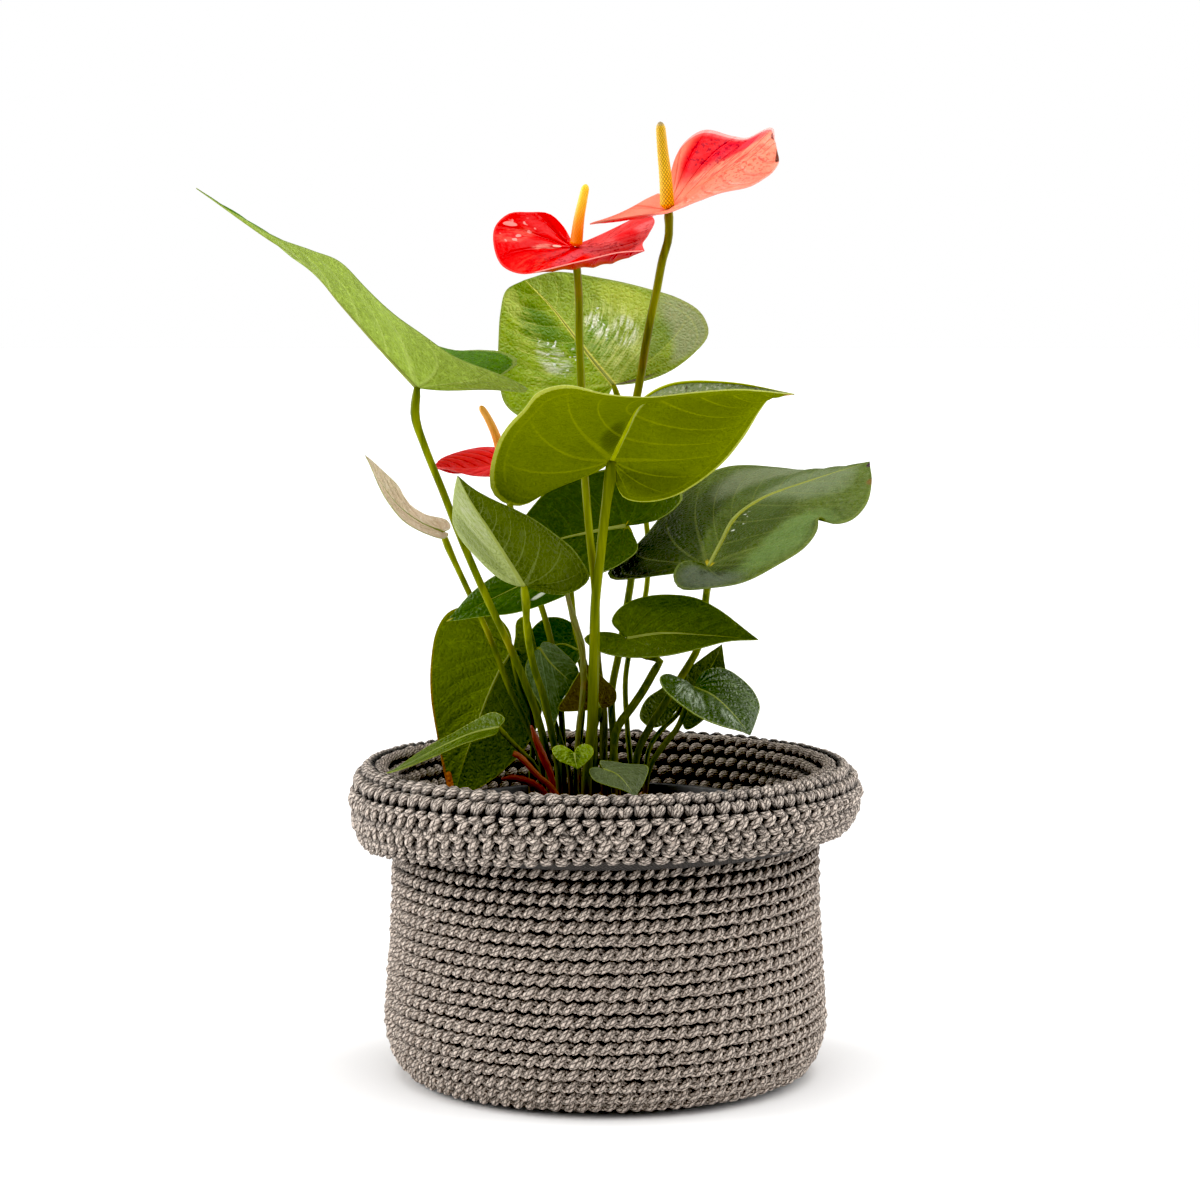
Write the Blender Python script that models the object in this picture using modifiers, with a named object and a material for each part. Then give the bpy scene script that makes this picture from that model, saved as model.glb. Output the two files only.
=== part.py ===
"""A potted anthurium: a heart-leaved plant with three blooms, in a nursery pot inside a crocheted basket.

Lengths are in millimetres until a mesh is made, +Z is up, and the origin is the middle of the basket's
underside. The plant's points are drawn on an upright sheet through the basket's axis, as an eye in front
sees them: across, up and then the depth behind the sheet. Each point slides along its line of sight to
that depth, so a depth can change and the front view stays.
"""

import math

import bmesh
import bpy
import numpy as np

MM = 0.001
GAP = 0.3

# The eye that the sheet is drawn for
EYE_DISTANCE = 1800
EYE_HEIGHT = 419

# Basket
BASKET_TURN_STEPS = 48
BASKET_HEIGHT = 154.6
BASKET_FLOOR = 7
FLOOR_RADIUS = 92
BASE_RADIUS = 88
ROW_PITCH = 6.75
ROW_RELIEF = 0.9
STITCH_RELIEF = 0.5
BODY_PROFILE = [(105, 119), (104.5, 105), (105, 85), (106, 65), (107.5, 45), (108.3, 27), (106.5, 17)]
BASE_PROFILE = [(103, 9), (97, 3), (BASE_RADIUS, 0)]
COLLAR_PROFILE = [(120, 152.5), (124.6, 146.5), (125, 140), (123, 132), (118.5, 125), (111, 121)]
CREST_PROFILE = [(103, 141), (107.5, 150), (112, 154), (116.5, BASKET_HEIGHT)]
INNER_WALL = [(98, 12), (101, 30), (100, 70), (99, 110)]

# Nursery pot and soil
POT_TURN_STEPS = 36
POT_RIM_RADIUS = 85
POT_BASE_RADIUS = 66
POT_HEIGHT = 126
POT_WALL = 1.4
POT_LIP = 3
POT_LIP_DROP = 9
POT_LIP_ROUND = 0.6
SOIL_LEVEL = 127
SOIL_CROWN = 2
SOIL_CROWN_RADIUS = 40
SOIL_SHOULDER = 6
SOIL_STEPS = 32
HOLE_DEPTH = 14
STEM_DEPTH = 12
HOLE_CLEARANCE = 0.45
HOLE_BEVEL_RESOLUTION = 2

# Blades and stems
BLADE_THICKNESS = 0.9
LONG_RIB = 70
MIDDLING_RIB = 30
PATH_SAMPLES = 12
SETTLE_ROUNDS = 60
BELLY_REACH = 25
STEM_BEVEL_RESOLUTION = 1
STEM_STEP = 12
STEM_ENTRY_RISE = 4
STEM_TOP_SHARE = 0.8
PEDUNCLE_DROP = 1.35

# Spadix
SPADIX_RINGS = 15
SPADIX_SIDES = 12
SPADIX_FOOT_SHARES = (0.45, 0.9)
SPADIX_TIP_SHARES = (0.85, 0.4)
FLORET_RELIEF = 0.07

# Each leaf: rib from junction to tip, the two margins from the sinus round the lobe towards the tip,
# the petiole below the junction, where it enters the soil, its radius, and how far each half bellies
LEAVES = {
    "leaf_far_left": dict(
        rib=[(-93, 342, -10), (-107, 357, -8), (-130, 383, -4), (-147, 403, -2), (-167, 416, -2),
             (-201, 440, 0)],
        near=[(-85, 341, -11), (-73, 341, -13), (-55, 340.5, -20), (-40, 339.5, -30), (-38, 341, -35),
              (-43, 344, -39), (-55, 349, -41), (-74, 357, -41), (-92, 369, -40), (-103, 377, -39),
              (-118, 391, -36), (-131, 404, -31), (-144, 409, -24), (-160, 415, -14), (-178, 425, -6)],
        far=[(-84, 341, -7), (-74, 342, -3), (-61, 345, 7), (-49, 350, 18), (-43, 356, 26), (-50, 360, 31),
             (-62, 361, 35), (-77, 361, 38), (-100, 372, 40), (-125, 392, 34), (-148, 407, 22),
             (-172, 421, 8)],
        petiole=[(-94, 328, -11), (-89, 312, -12), (-81, 292, -13), (-71, 266, -15), (-59, 238, -17),
                 (-46, 210, -15), (-35, 182, -11), (-29, 158, -8)],
        root=(-27, -7), radius=1.9, belly=(-1, 1)),
    "leaf_pale_young": dict(
        rib=[(-81, 271, 28), (-91, 275, 26), (-102, 283, 24), (-112, 296, 22), (-119, 309, 20)],
        near=[(-78, 270, 22), (-80, 268, 20), (-88, 270, 18), (-100, 276, 15), (-108, 286, 15),
              (-115, 300, 17)],
        far=[(-77, 273, 34), (-79, 277, 38), (-90, 280, 40), (-99, 286, 38), (-103, 294, 34),
             (-112, 303, 27)],
        petiole=[(-78, 263, 25), (-68, 241, 17), (-57, 217, 6), (-48, 193, 2), (-38, 172, 2),
                 (-32, 155, 4)],
        root=(-31, 6), radius=1.5, belly=(1, 1)),
    "leaf_back": dict(
        rib=[(4, 344, 34), (-6, 356, 44), (-16, 369, 52), (-27, 383, 58), (-40, 396, 58)],
        near=[(1, 338, 34), (-10, 328, 34), (-28, 324, 35), (-42, 328, 37), (-50, 335, 40), (-53, 350, 44),
              (-53, 366, 49), (-52, 380, 53), (-49, 391, 56)],
        far=[(9, 344, 36), (20, 346, 40), (34, 352, 45), (45, 361, 50), (51, 370, 56), (47, 380, 62),
             (36, 387, 67), (20, 392, 70), (-2, 397, 70), (-25, 400, 65)],
        petiole=[(8, 332, 34), (16, 300, 40), (21, 268, 46), (20, 240, 41), (14, 220, 35), (10, 198, 29),
                 (11, 172, 24), (13, 150, 20)],
        root=(13, 19), radius=1.4, belly=(2, 2)),
    "leaf_front_tall": dict(
        rib=[(3, 306, -26), (10, 321, -42), (17, 334, -58), (33, 343, -72), (62, 343.5, -80),
             (93, 338, -80)],
        near=[(-4, 301, -23), (-14, 297.5, -20), (-26, 293.5, -20), (-33, 289, -23), (-39, 284.5, -26),
              (-48, 284, -31), (-56, 290, -34), (-57, 301, -40), (-53, 315, -50), (-47, 324, -60),
              (-40, 331, -72), (-33, 339, -84), (-20, 342.5, -94), (-2, 338, -102), (20, 336, -106),
              (45, 339, -104), (70, 340, -97)],
        far=[(5, 297, -24), (9, 288, -22), (20, 285.5, -22), (33, 288, -24), (46, 295, -28), (58, 305, -36),
             (68, 317, -46), (76, 330, -58), (83, 338, -70)],
        petiole=[(2, 296, -26), (0, 282, -27), (-3, 255, -28), (-5, 236, -28), (-6, 205, -27), (-7, 175, -25),
                 (-9, 152, -24)],
        root=(-10, -23), radius=2.4, belly=(-3, -3)),
    "leaf_right_large": dict(
        rib=[(51, 253, 0), (57, 265, 12), (64, 278, 24), (78, 288, 34), (100, 296, 40), (131, 306, 42)],
        near=[(46, 256, -4), (37, 255.5, -9), (33.5, 249, -14), (37, 242.5, -20), (54, 243, -26),
              (69, 246, -28), (87, 255, -25), (99, 263, -19), (105, 272, -11), (106, 279, -5),
              (112, 275, -5), (121, 276, -2), (129, 284, 8), (132, 295, 24)],
        far=[(46, 251.5, 0), (38, 250.5, 1), (26, 249, 4), (12, 247.5, 8), (3, 247.5, 13), (1, 251, 18),
             (10, 259, 25), (20, 270, 36), (30, 282, 48), (42, 294, 58), (58, 303, 66), (84, 304, 68),
             (106, 301, 62), (120, 303, 54)],
        petiole=[(51, 246, 9), (50, 239, 17), (49, 228, 20), (46, 213, 15), (38, 199, 11), (30, 186, 7),
                 (22, 173, 4), (16, 160, 2)],
        root=(14, 1), radius=1.9, belly=(2, 2)),
    "leaf_front_left": dict(
        rib=[(-40.5, 243.5, -44), (-48, 256, -50), (-58, 272, -58), (-67, 286, -64), (-73, 298, -68)],
        near=[(-45, 244, -40), (-53, 248, -37), (-62, 256, -34), (-71, 266, -34), (-75.5, 275, -38),
              (-75.5, 283, -46), (-74.5, 291, -58)],
        far=[(-30, 240, -40), (-20, 239.5, -34), (-12, 243, -28), (-8, 248, -26), (-12, 256, -28),
             (-17, 263, -32), (-26, 270, -38), (-36, 277, -44), (-46, 282, -49), (-55, 286, -55),
             (-66, 292, -63)],
        petiole=[(-39.5, 236, -42), (-39, 222, -36), (-36, 205, -29), (-31, 189, -23), (-27, 171, -19),
                 (-24, 155, -17)],
        root=(-22, -16), radius=1.8, belly=(-1, -2)),
    "leaf_behind_front_left": dict(
        rib=[(-19, 251, 0), (-35, 247, -1), (-55, 238, -3), (-79, 226, -6)],
        near=[(-13, 248, -2), (-9, 246, -3), (-17, 240.5, -6), (-32, 234, -8), (-46, 230, -9),
              (-60, 228.5, -9), (-71, 227, -8)],
        far=[(-15, 255, 2), (-13, 258, 4), (-20, 260, 5), (-38, 257, 4), (-55, 249, 2), (-67, 240, 0),
             (-74, 232, -3)],
        petiole=[(-17, 240, 6), (-15, 222, 9), (-10, 204, 11), (-6, 180, 12), (-5, 155, 12)],
        root=(-6, 13), radius=1.4, belly=(-2, -2)),
    "leaf_dark_middle": dict(
        rib=[(10, 274, 22), (-2, 272, 22), (-16, 269, 22), (-30, 266, 22), (-43, 267, 22)],
        near=[(14, 269, 20), (16, 262, 16), (8, 255, 13), (0, 251, 12), (-10, 248.5, 12), (-24, 252, 14),
              (-36, 259, 18)],
        far=[(18, 275, 20), (26, 277, 16), (36, 284, 14), (38.5, 289, 16), (28, 298, 22), (8, 303, 27),
             (-12, 299, 27), (-27, 293, 26), (-36, 284, 25), (-42, 275, 23)],
        petiole=[(12, 268, 29), (13, 260, 34), (13, 250, 32), (11, 236, 27), (7, 212, 18), (3, 190, 13),
                 (4, 168, 10), (5, 150, 9)],
        root=(6, 9), radius=1.9, belly=(1, 1)),
    "leaf_right_middle": dict(
        rib=[(11, 217.5, 5), (28, 220, 3), (50, 219, 0), (76, 217, -3)],
        near=[(6, 220, 3), (-2, 221, 2), (-8, 220, 2), (-11, 217.5, 1), (-5, 212, 0), (8, 208.5, -6),
              (28, 208.5, -14), (45, 212, -13), (60, 216, -9)],
        far=[(7, 221, 6), (3, 226, 7), (6, 232, 11), (14, 237, 15), (28, 239.5, 18), (44, 238, 17),
             (55, 233, 12), (66, 225, 5)],
        petiole=[(18, 210, 12), (27, 207, 16), (24, 201, 14), (19, 192, 9), (13, 183, 4), (6, 173, -1),
                 (4, 158, -7)],
        root=(4, -9), radius=2.1, belly=(1, 1)),
    "leaf_right_low_upright": dict(
        rib=[(39, 187, 22), (47, 196, 24), (54, 206, 25), (58, 215, 24)],
        near=[(36, 183, 21), (30, 175, 18), (23, 173, 15), (17, 178, 14), (20, 187, 16), (28, 193, 19),
              (40, 202, 23), (51, 210, 25)],
        far=[(38, 180, 22), (40, 172, 20), (48, 176, 20), (56, 186, 22), (60, 198, 24), (59, 208, 24)],
        petiole=[(36, 180, 25), (28, 172, 22), (22, 163, 16), (20, 152, 13)],
        root=(20, 11), radius=1.3, belly=(1, 1)),
    "leaf_right_low_glossy": dict(
        rib=[(44, 193, -14), (53, 189, -20), (63, 180, -26), (72, 169, -30)],
        near=[(38, 197, -16), (31, 200, -20), (27, 198, -26), (29, 192, -33), (35, 186, -39),
              (45, 179, -43), (57, 174, -42), (67, 171, -36)],
        far=[(46, 198, -10), (51, 202, -4), (60, 202, 2), (67, 198, 4), (73, 192, 2), (76.5, 184, -6),
             (75, 177, -17)],
        petiole=[(40, 183, -9), (36, 173, -6), (29, 164, -8), (22, 153, -10)],
        root=(19, -12), radius=1.5, belly=(2, 2)),
    "leaf_twisted_centre": dict(
        rib=[(-33, 213, 4), (-28, 206, 3), (-22, 200, 4), (-17, 196, 6), (-13, 198, 8)],
        near=[(-37, 210, 1), (-40, 203, -3), (-38, 194, -6), (-33, 185, -8), (-27, 172, -8),
              (-24, 178, -7), (-22, 186, -3), (-18, 192, 2)],
        far=[(-31, 216, 8), (-26, 215, 10), (-19, 209, 10), (-14, 203, 9)],
        petiole=[(-33, 205, 8), (-28, 185, 8), (-22, 165, 5), (-18, 150, 2)],
        root=(-17, -1), radius=1.3, belly=(1, 1)),
    "leaf_hanging_left": dict(
        rib=[(-46, 212, 14), (-52, 203, 12), (-59, 188, 9), (-66, 169, 6), (-72, 152, 3), (-75, 140, 1)],
        near=[(-48, 222, 15), (-57, 231, 17), (-68, 234, 17), (-78, 231, 15), (-84, 222, 13),
              (-87, 206, 10), (-87, 188, 7), (-84, 168, 4), (-80, 148, 1), (-78, 141, 0)],
        far=[(-45, 219, 17), (-44, 227, 20), (-39, 229, 22), (-36, 220, 21), (-32, 200, 19),
             (-32, 180, 17), (-39, 164, 13), (-48, 154, 9), (-59, 145, 5), (-69, 140, 3)],
        petiole=[(-45, 204, 10), (-43, 194, 8), (-38, 182, 9), (-36, 168, 12), (-37, 152, 14)],
        root=(-37, 15), radius=1.5, belly=(-2, -2)),
    "leaf_rim_left": dict(
        rib=[(-53, 173, -44), (-66, 170, -48), (-84, 162, -54), (-98, 154.5, -58), (-109, 150, -60)],
        near=[(-54, 170, -48), (-59, 168, -54), (-72, 164, -62), (-86, 158, -68), (-98, 153, -68)],
        far=[(-50, 177, -40), (-56, 180.5, -34), (-66, 176, -32), (-80, 168, -36), (-95, 159, -46),
             (-104, 153, -54)],
        petiole=[(-49, 168, -41), (-42, 161, -37), (-34, 152, -34)],
        root=(-31, -34), radius=1.2, belly=(1, 1)),
    "leaf_small_back": dict(
        rib=[(-14, 212, 26), (-21, 215, 28), (-29, 213, 27), (-37, 207, 24)],
        near=[(-13, 208, 22), (-18, 203, 18), (-27, 203, 18), (-34, 205, 21)],
        far=[(-12, 217, 30), (-15, 224, 34), (-22, 228, 35), (-30, 228, 33), (-37, 222, 30),
             (-39, 213, 26)],
        petiole=[(-12, 203, 28), (-11, 185, 26), (-13, 160, 23)],
        root=(-13, 22), radius=1.2, belly=(1, 1)),
    "leaf_olive_centre": dict(
        rib=[(-3, 183, 0), (-6, 190, 0), (-9, 198, 0), (-10, 205, 1)],
        near=[(-6, 182, -2), (-14, 181, -4), (-24, 182, -6), (-20, 189, -5), (-14, 199, -3)],
        far=[(0, 183, 2), (5, 186, 3), (5, 192, 3), (0, 197, 2), (-6, 203, 1)],
        petiole=[(-5, 174, 3), (-8, 158, 1)],
        root=(-8, 1), radius=1.5, belly=(1, 1)),
    "leaf_tiny_heart": dict(
        rib=[(-15.5, 160, -52), (-15, 156, -54), (-14, 152, -55)],
        near=[(-18, 162, -50), (-23, 164, -48), (-26.5, 162, -48), (-24, 157, -51), (-18, 154, -54)],
        far=[(-14, 163, -50), (-11, 164.5, -47), (-7, 163.5, -46), (-6, 160, -48), (-10, 155, -52)],
        petiole=[(-15, 155, -46), (-15, 146, -43)],
        root=(-14, -41), radius=1, belly=(1, 1)),
    "leaf_low_front": dict(
        rib=[(-1, 152, -44), (6, 149, -48), (15, 138, -52)],
        near=[(-5, 153, -45), (-8, 152, -47), (-6, 147, -51), (2, 143.5, -54), (9, 141.5, -55)],
        far=[(-3, 156, -40), (2, 156, -36), (11, 154.5, -34), (21, 153.5, -36), (20, 147, -43)],
        petiole=[(0, 148, -38), (2, 142, -36)],
        root=(4, -34), radius=1, belly=(1, 1)),
}

# Each bloom: its spathe drawn like a leaf, the peduncle below it, and the spadix from base to tip
BLOOMS = {
    "centre": dict(
        rib=[(-15, 411, 0), (-8, 407, -10), (4, 405, -22), (19, 409, -34)],
        near=[(-17, 415, 3), (-21, 422, 8), (-28, 428, 12), (-38, 428.5, 12), (-47, 428, 8), (-54, 422, 2),
              (-55, 413, -8), (-51, 402, -20), (-42, 398, -28), (-28, 400, -36), (-10, 404, -42),
              (6, 408, -42)],
        far=[(-13, 413, 6), (-8, 415, 14), (1, 419, 21), (11, 424, 26), (19, 428, 25), (24, 425, 16),
             (21, 418, 2), (18, 413, -16)],
        peduncle=[(-14, 400, 0), (-13, 385, 0), (-13, 371, -1), (-12, 343, -3), (-11, 310, -6),
                  (-8, 270, -10), (-5, 240, -12), (-5, 205, -12), (-6, 170, -11)],
        root=(-7, -10), radius=2, flare=1.7, belly=(-3, -3), colour="spathe_red",
        spadix=[(-14.6, 413.2, 0), (-13, 425, -1), (-11, 435, -1), (-9.5, 442, -1)],
        spadix_radius=(3.2, 1.9)),
    "upper_right": dict(
        rib=[(31, 430, 6), (45, 440, 8), (60, 448, 6), (74, 455, 2), (84, 459, -2)],
        near=[(28, 438, 14), (21, 435.5, 13), (14, 431.5, 8), (6, 427.5, 2), (-8, 422, -6),
              (4, 424.5, -12), (20, 427, -17), (30, 427.5, -20), (43, 432.5, -23), (55, 437, -24),
              (70, 440.5, -21), (78, 445, -15), (82, 448, -11), (85, 453, -7)],
        far=[(31, 438, 14), (32, 447, 20), (35, 457, 25), (40, 464, 28), (49, 469, 31), (62, 466, 30),
             (70, 465, 25), (77, 468.5, 20), (82, 469.5, 12), (83, 464, 5)],
        peduncle=[(31, 416, 7), (28, 405, 8), (25, 389, 10), (21, 370, 13), (17, 346, 17), (10, 312, 28),
                  (2, 280, 36), (-4, 248, 30), (-5, 225, 18), (-4, 205, 10), (-1, 180, 4), (-1, 160, 0)],
        root=(0, -3), radius=2.1, flare=1.8, belly=(-2, -2), colour="spathe_salmon",
        spadix=[(30.5, 431.5, 5), (29.5, 445, 4), (28, 459, 4), (26.8, 472.5, 3)],
        spadix_radius=(3.5, 2.2)),
    "left": dict(
        rib=[(-50, 305, 15), (-62, 302, 12), (-75, 300, 8), (-85, 303, 5)],
        near=[(-47, 303, 11), (-46, 300, 6), (-55, 298.5, 0), (-67, 299, -2), (-78, 302, 0)],
        far=[(-47, 307, 19), (-48, 311, 26), (-58, 313, 30), (-70, 311.5, 27), (-81, 307.5, 17)],
        peduncle=[(-48, 288, 15), (-43, 265, 15), (-34, 240, 14), (-28, 220, 13), (-23, 190, 11),
                  (-21, 160, 9)],
        root=(-21, 9), radius=1.6, flare=1.4, belly=(-1, -1), colour="spathe_red",
        spadix=[(-50.6, 307, 15), (-54, 318, 14), (-58, 327, 13), (-62, 333.5, 13)],
        spadix_radius=(2.6, 1.7)),
}

# Sheaths: the points from the tip down, where each enters the soil, and the widest radius
SHEATHS = {
    "sheath_pointed": dict(
        points=[(-20, 249, -20), (-19, 240, -20), (-16, 228, -18), (-12, 214, -15), (-11, 195, -12),
                (-14, 165, -12)],
        root=(-14, -12), radii=(0.5, 1.1, 1.7, 1.8, 1.5, 1.4, 1.4, 1.4)),
    "sheath_red": dict(
        points=[(-37, 174, -30), (-35, 168, -30), (-31, 158, -30), (-27, 148, -30)],
        root=(-25, -30), radii=(0.5, 1.5, 2, 1.6, 1.4, 1.4)),
    "sheath_low": dict(
        points=[(-52, 147, -39), (-46, 147.5, -39), (-37, 145, -39), (-30, 139, -39)],
        root=(-27, -39), radii=(0.6, 1.7, 1.9, 1.6, 1.4, 1.4)),
    "stub_dry": dict(
        points=[(-46, 160, -50), (-43, 158.5, -50), (-34, 149, -48), (-25, 140, -46)],
        root=(-21, -45), radii=(1.3, 1.5, 1.4, 1.4, 1.5, 1.5)),
}

COLOURS = {
    "cord": (0.30, 0.25, 0.215),
    "black_plastic": (0.02, 0.02, 0.022),
    "soil": (0.045, 0.03, 0.02),
    "leaf_green": (0.10, 0.22, 0.02),
    "leaf_dark": (0.03, 0.10, 0.02),
    "leaf_olive": (0.14, 0.12, 0.01),
    "spathe_red": (0.72, 0.02, 0.02),
    "spathe_salmon": (0.85, 0.16, 0.09),
    "spadix_yellow": (0.82, 0.50, 0.03),
    "stem_green": (0.22, 0.28, 0.03),
    "sheath_brown": (0.30, 0.09, 0.03),
}
ROUGHNESS = {
    "cord": 0.9,
    "black_plastic": 0.45,
    "soil": 0.95,
    "leaf_green": 0.35,
    "leaf_dark": 0.3,
    "leaf_olive": 0.4,
    "spathe_red": 0.2,
    "spathe_salmon": 0.25,
    "spadix_yellow": 0.5,
    "stem_green": 0.4,
    "sheath_brown": 0.6,
}
LEAF_COLOURS = {
    "leaf_right_large": "leaf_dark",
    "leaf_dark_middle": "leaf_dark",
    "leaf_right_middle": "leaf_dark",
    "leaf_behind_front_left": "leaf_dark",
    "leaf_small_back": "leaf_dark",
    "leaf_olive_centre": "leaf_olive",
}

# Leaves whose lobes curl close to the petiole, where only the manifold solver joins the two
CURLED_LEAVES = {"leaf_far_left", "leaf_front_tall", "leaf_right_large", "leaf_right_low_upright"}


def from_sheet(points):
    """Slides sheet points (across, up, depth) along their lines of sight to their depths."""
    across, up, depth = np.array(points, dtype=float).T
    spread = 1 + depth / EYE_DISTANCE
    return np.column_stack([across * spread, depth, EYE_HEIGHT + (up - EYE_HEIGHT) * spread])


def smooth_path(points, count):
    """Reads count points, evenly spaced, from a centripetal Catmull-Rom curve through the points."""
    points = np.asarray(points, dtype=float)
    ends = np.vstack([2 * points[0] - points[1], points, 2 * points[-1] - points[-2]])
    knots = np.concatenate([[0], np.cumsum(np.sqrt(np.linalg.norm(np.diff(ends, axis=0), axis=1)))])
    fine = []
    for i in range(1, len(ends) - 2):
        t0, t1, t2, t3 = knots[i - 1:i + 3]
        p0, p1, p2, p3 = ends[i - 1:i + 3]
        for t in np.linspace(t1, t2, PATH_SAMPLES, endpoint=False):
            a1 = ((t1 - t) * p0 + (t - t0) * p1) / (t1 - t0)
            a2 = ((t2 - t) * p1 + (t - t1) * p2) / (t2 - t1)
            a3 = ((t3 - t) * p2 + (t - t2) * p3) / (t3 - t2)
            b1 = ((t2 - t) * a1 + (t - t0) * a2) / (t2 - t0)
            b2 = ((t3 - t) * a2 + (t - t1) * a3) / (t3 - t1)
            fine.append(((t2 - t) * b1 + (t - t1) * b2) / (t2 - t1))
    fine.append(points[-1])
    fine = np.array(fine)
    along = np.concatenate([[0], np.cumsum(np.linalg.norm(np.diff(fine, axis=0), axis=1))])
    steps = np.linspace(0, along[-1], count)
    return np.column_stack([np.interp(steps, along, fine[:, k]) for k in range(3)])


def half_blade(rib, margin, lobe_steps, rings, belly, side):
    """The rows of one half, from the sinus to the tip: each runs from the rib out to the margin.

    The rib and the margin are held, the points between them settle until each is the mean of its
    neighbours, and the half then bellies out along its normals.
    """
    edge = smooth_path(np.vstack([rib[:1], margin, rib[-1:]]), lobe_steps + len(rib))
    feet = rib[np.maximum(np.arange(len(edge)) - lobe_steps, 0)]
    share = np.linspace(0, 1, rings + 1)[None, :, None]
    grid = feet[:, None] * (1 - share) + edge[:, None] * share
    for _ in range(SETTLE_ROUNDS):
        beside = grid[:-2, 1:-1] + grid[2:, 1:-1]
        across = grid[1:-1, :-2] + grid[1:-1, 2:]
        grid[1:-1, 1:-1] = (beside + across) / 4
    normals = np.cross(np.gradient(grid, axis=1), np.gradient(grid, axis=0)) * side
    normals /= np.linalg.norm(normals, axis=2)[:, :, None] + 1e-9
    reach = np.linalg.norm(edge - feet, axis=1)[:, None, None]
    grid += normals * belly * np.minimum(1, reach / BELLY_REACH) * 4 * share * (1 - share)
    return grid[1:-1, 1:]


def blade_mesh(name, shape, lobe_steps, rib_steps, rings):
    """A heart-shaped blade as an open surface of triangles, its upper face outward."""
    rib = smooth_path(from_sheet(shape["rib"]), rib_steps + 1)
    vertices = [tuple(p) for p in rib]
    faces = []
    for key, side, belly in (("near", 1, shape["belly"][0]), ("far", -1, shape["belly"][1])):
        rows = half_blade(rib, from_sheet(shape[key]), lobe_steps, rings, belly, side)
        lines = [[0] * (rings + 1)]
        for j, row in enumerate(rows, 1):
            start = len(vertices)
            vertices.extend(tuple(p) for p in row)
            lines.append([max(j - lobe_steps, 0)] + list(range(start, start + rings)))
        lines.append([rib_steps] * (rings + 1))
        for first, second in zip(lines, lines[1:]):
            for k in range(rings):
                quad = [first[k], second[k], second[k + 1], first[k + 1]]
                for corners in ((quad[0], quad[1], quad[2]), (quad[0], quad[2], quad[3])):
                    if len(set(corners)) == 3:
                        faces.append(corners[::side])
    mesh = bpy.data.meshes.new(name)
    mesh.from_pydata([tuple(c * MM for c in v) for v in vertices], [], faces)
    mesh.update()
    return mesh


def material(name, colour):
    """A Principled material of the piece's own, in one of the colours."""
    made = bpy.data.materials.new(name)
    made.use_nodes = True
    shader = made.node_tree.nodes["Principled BSDF"]
    shader.inputs["Base Color"].default_value = (*COLOURS[colour], 1)
    shader.inputs["Roughness"].default_value = ROUGHNESS[colour]
    return made


def add_object(name, mesh, collection, colour):
    """Places a mesh in a collection under its plain name and colour."""
    made = bpy.data.objects.new(name, mesh)
    mesh.name = name
    mesh.shade_smooth()
    mesh.materials.clear()
    mesh.materials.append(material(name, colour))
    collection.objects.link(made)
    return made


def helper(name, mesh, helpers):
    """Places a mesh that only cuts or joins others."""
    made = bpy.data.objects.new(name, mesh)
    made.hide_render = True
    made.display_type = "WIRE"
    helpers.objects.link(made)
    return made


def tube_mesh(name, path, radii, resolution=STEM_BEVEL_RESOLUTION):
    """A closed tube along a path in millimetres, with a radius at each point."""
    curve = bpy.data.curves.new(name, "CURVE")
    curve.dimensions = "3D"
    curve.bevel_depth = MM
    curve.bevel_resolution = resolution
    curve.use_fill_caps = True
    spline = curve.splines.new("POLY")
    spline.points.add(len(path) - 1)
    for point, place, radius in zip(spline.points, path, radii):
        point.co = (*(c * MM for c in place), 1)
        point.radius = radius
    holder = bpy.data.objects.new(name, curve)
    bpy.context.scene.collection.objects.link(holder)
    bpy.context.view_layer.update()
    evaluated = holder.evaluated_get(bpy.context.evaluated_depsgraph_get())
    mesh = bpy.data.meshes.new_from_object(evaluated)
    bpy.data.objects.remove(holder)
    bpy.data.curves.remove(curve)
    work = bmesh.new()
    work.from_mesh(mesh)
    bmesh.ops.remove_doubles(work, verts=work.verts, dist=0.00001)
    bmesh.ops.recalc_face_normals(work, faces=work.faces)
    work.to_mesh(mesh)
    work.free()
    return mesh


def stem_path(top, points, root):
    """The path from a leaf or bloom down to the foot of its stem in the soil."""
    upper = from_sheet([top, *points])
    route = np.vstack([upper, [(*root, SOIL_LEVEL + STEM_ENTRY_RISE)], [(*root, SOIL_LEVEL - 1)]])
    length = np.linalg.norm(np.diff(route, axis=0), axis=1).sum()
    path = smooth_path(route, max(4, round(length / STEM_STEP)))
    return np.vstack([path, [(*root, SOIL_LEVEL - STEM_DEPTH)]])


def boolean(target, other, operation, solver="EXACT"):
    """Adds a Boolean modifier."""
    modifier = target.modifiers.new(operation.lower(), "BOOLEAN")
    modifier.operation = operation
    modifier.solver = solver
    modifier.object = other
    return modifier


def turned(name, profile, steps, collection, colour):
    """A closed solid turned about Z from a profile that runs down its outer side."""
    mesh = bpy.data.meshes.new(name)
    points = [(r * MM, 0, z * MM) for r, z in profile]
    mesh.from_pydata(points, [(i, i + 1) for i in range(len(points) - 1)], [])
    made = add_object(name, mesh, collection, colour)
    screw = made.modifiers.new("turn", "SCREW")
    screw.axis = "Z"
    screw.angle = math.tau
    screw.steps = steps
    screw.render_steps = steps
    screw.use_smooth_shade = True
    screw.use_merge_vertices = True
    screw.merge_threshold = 0.00001
    return made


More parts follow.
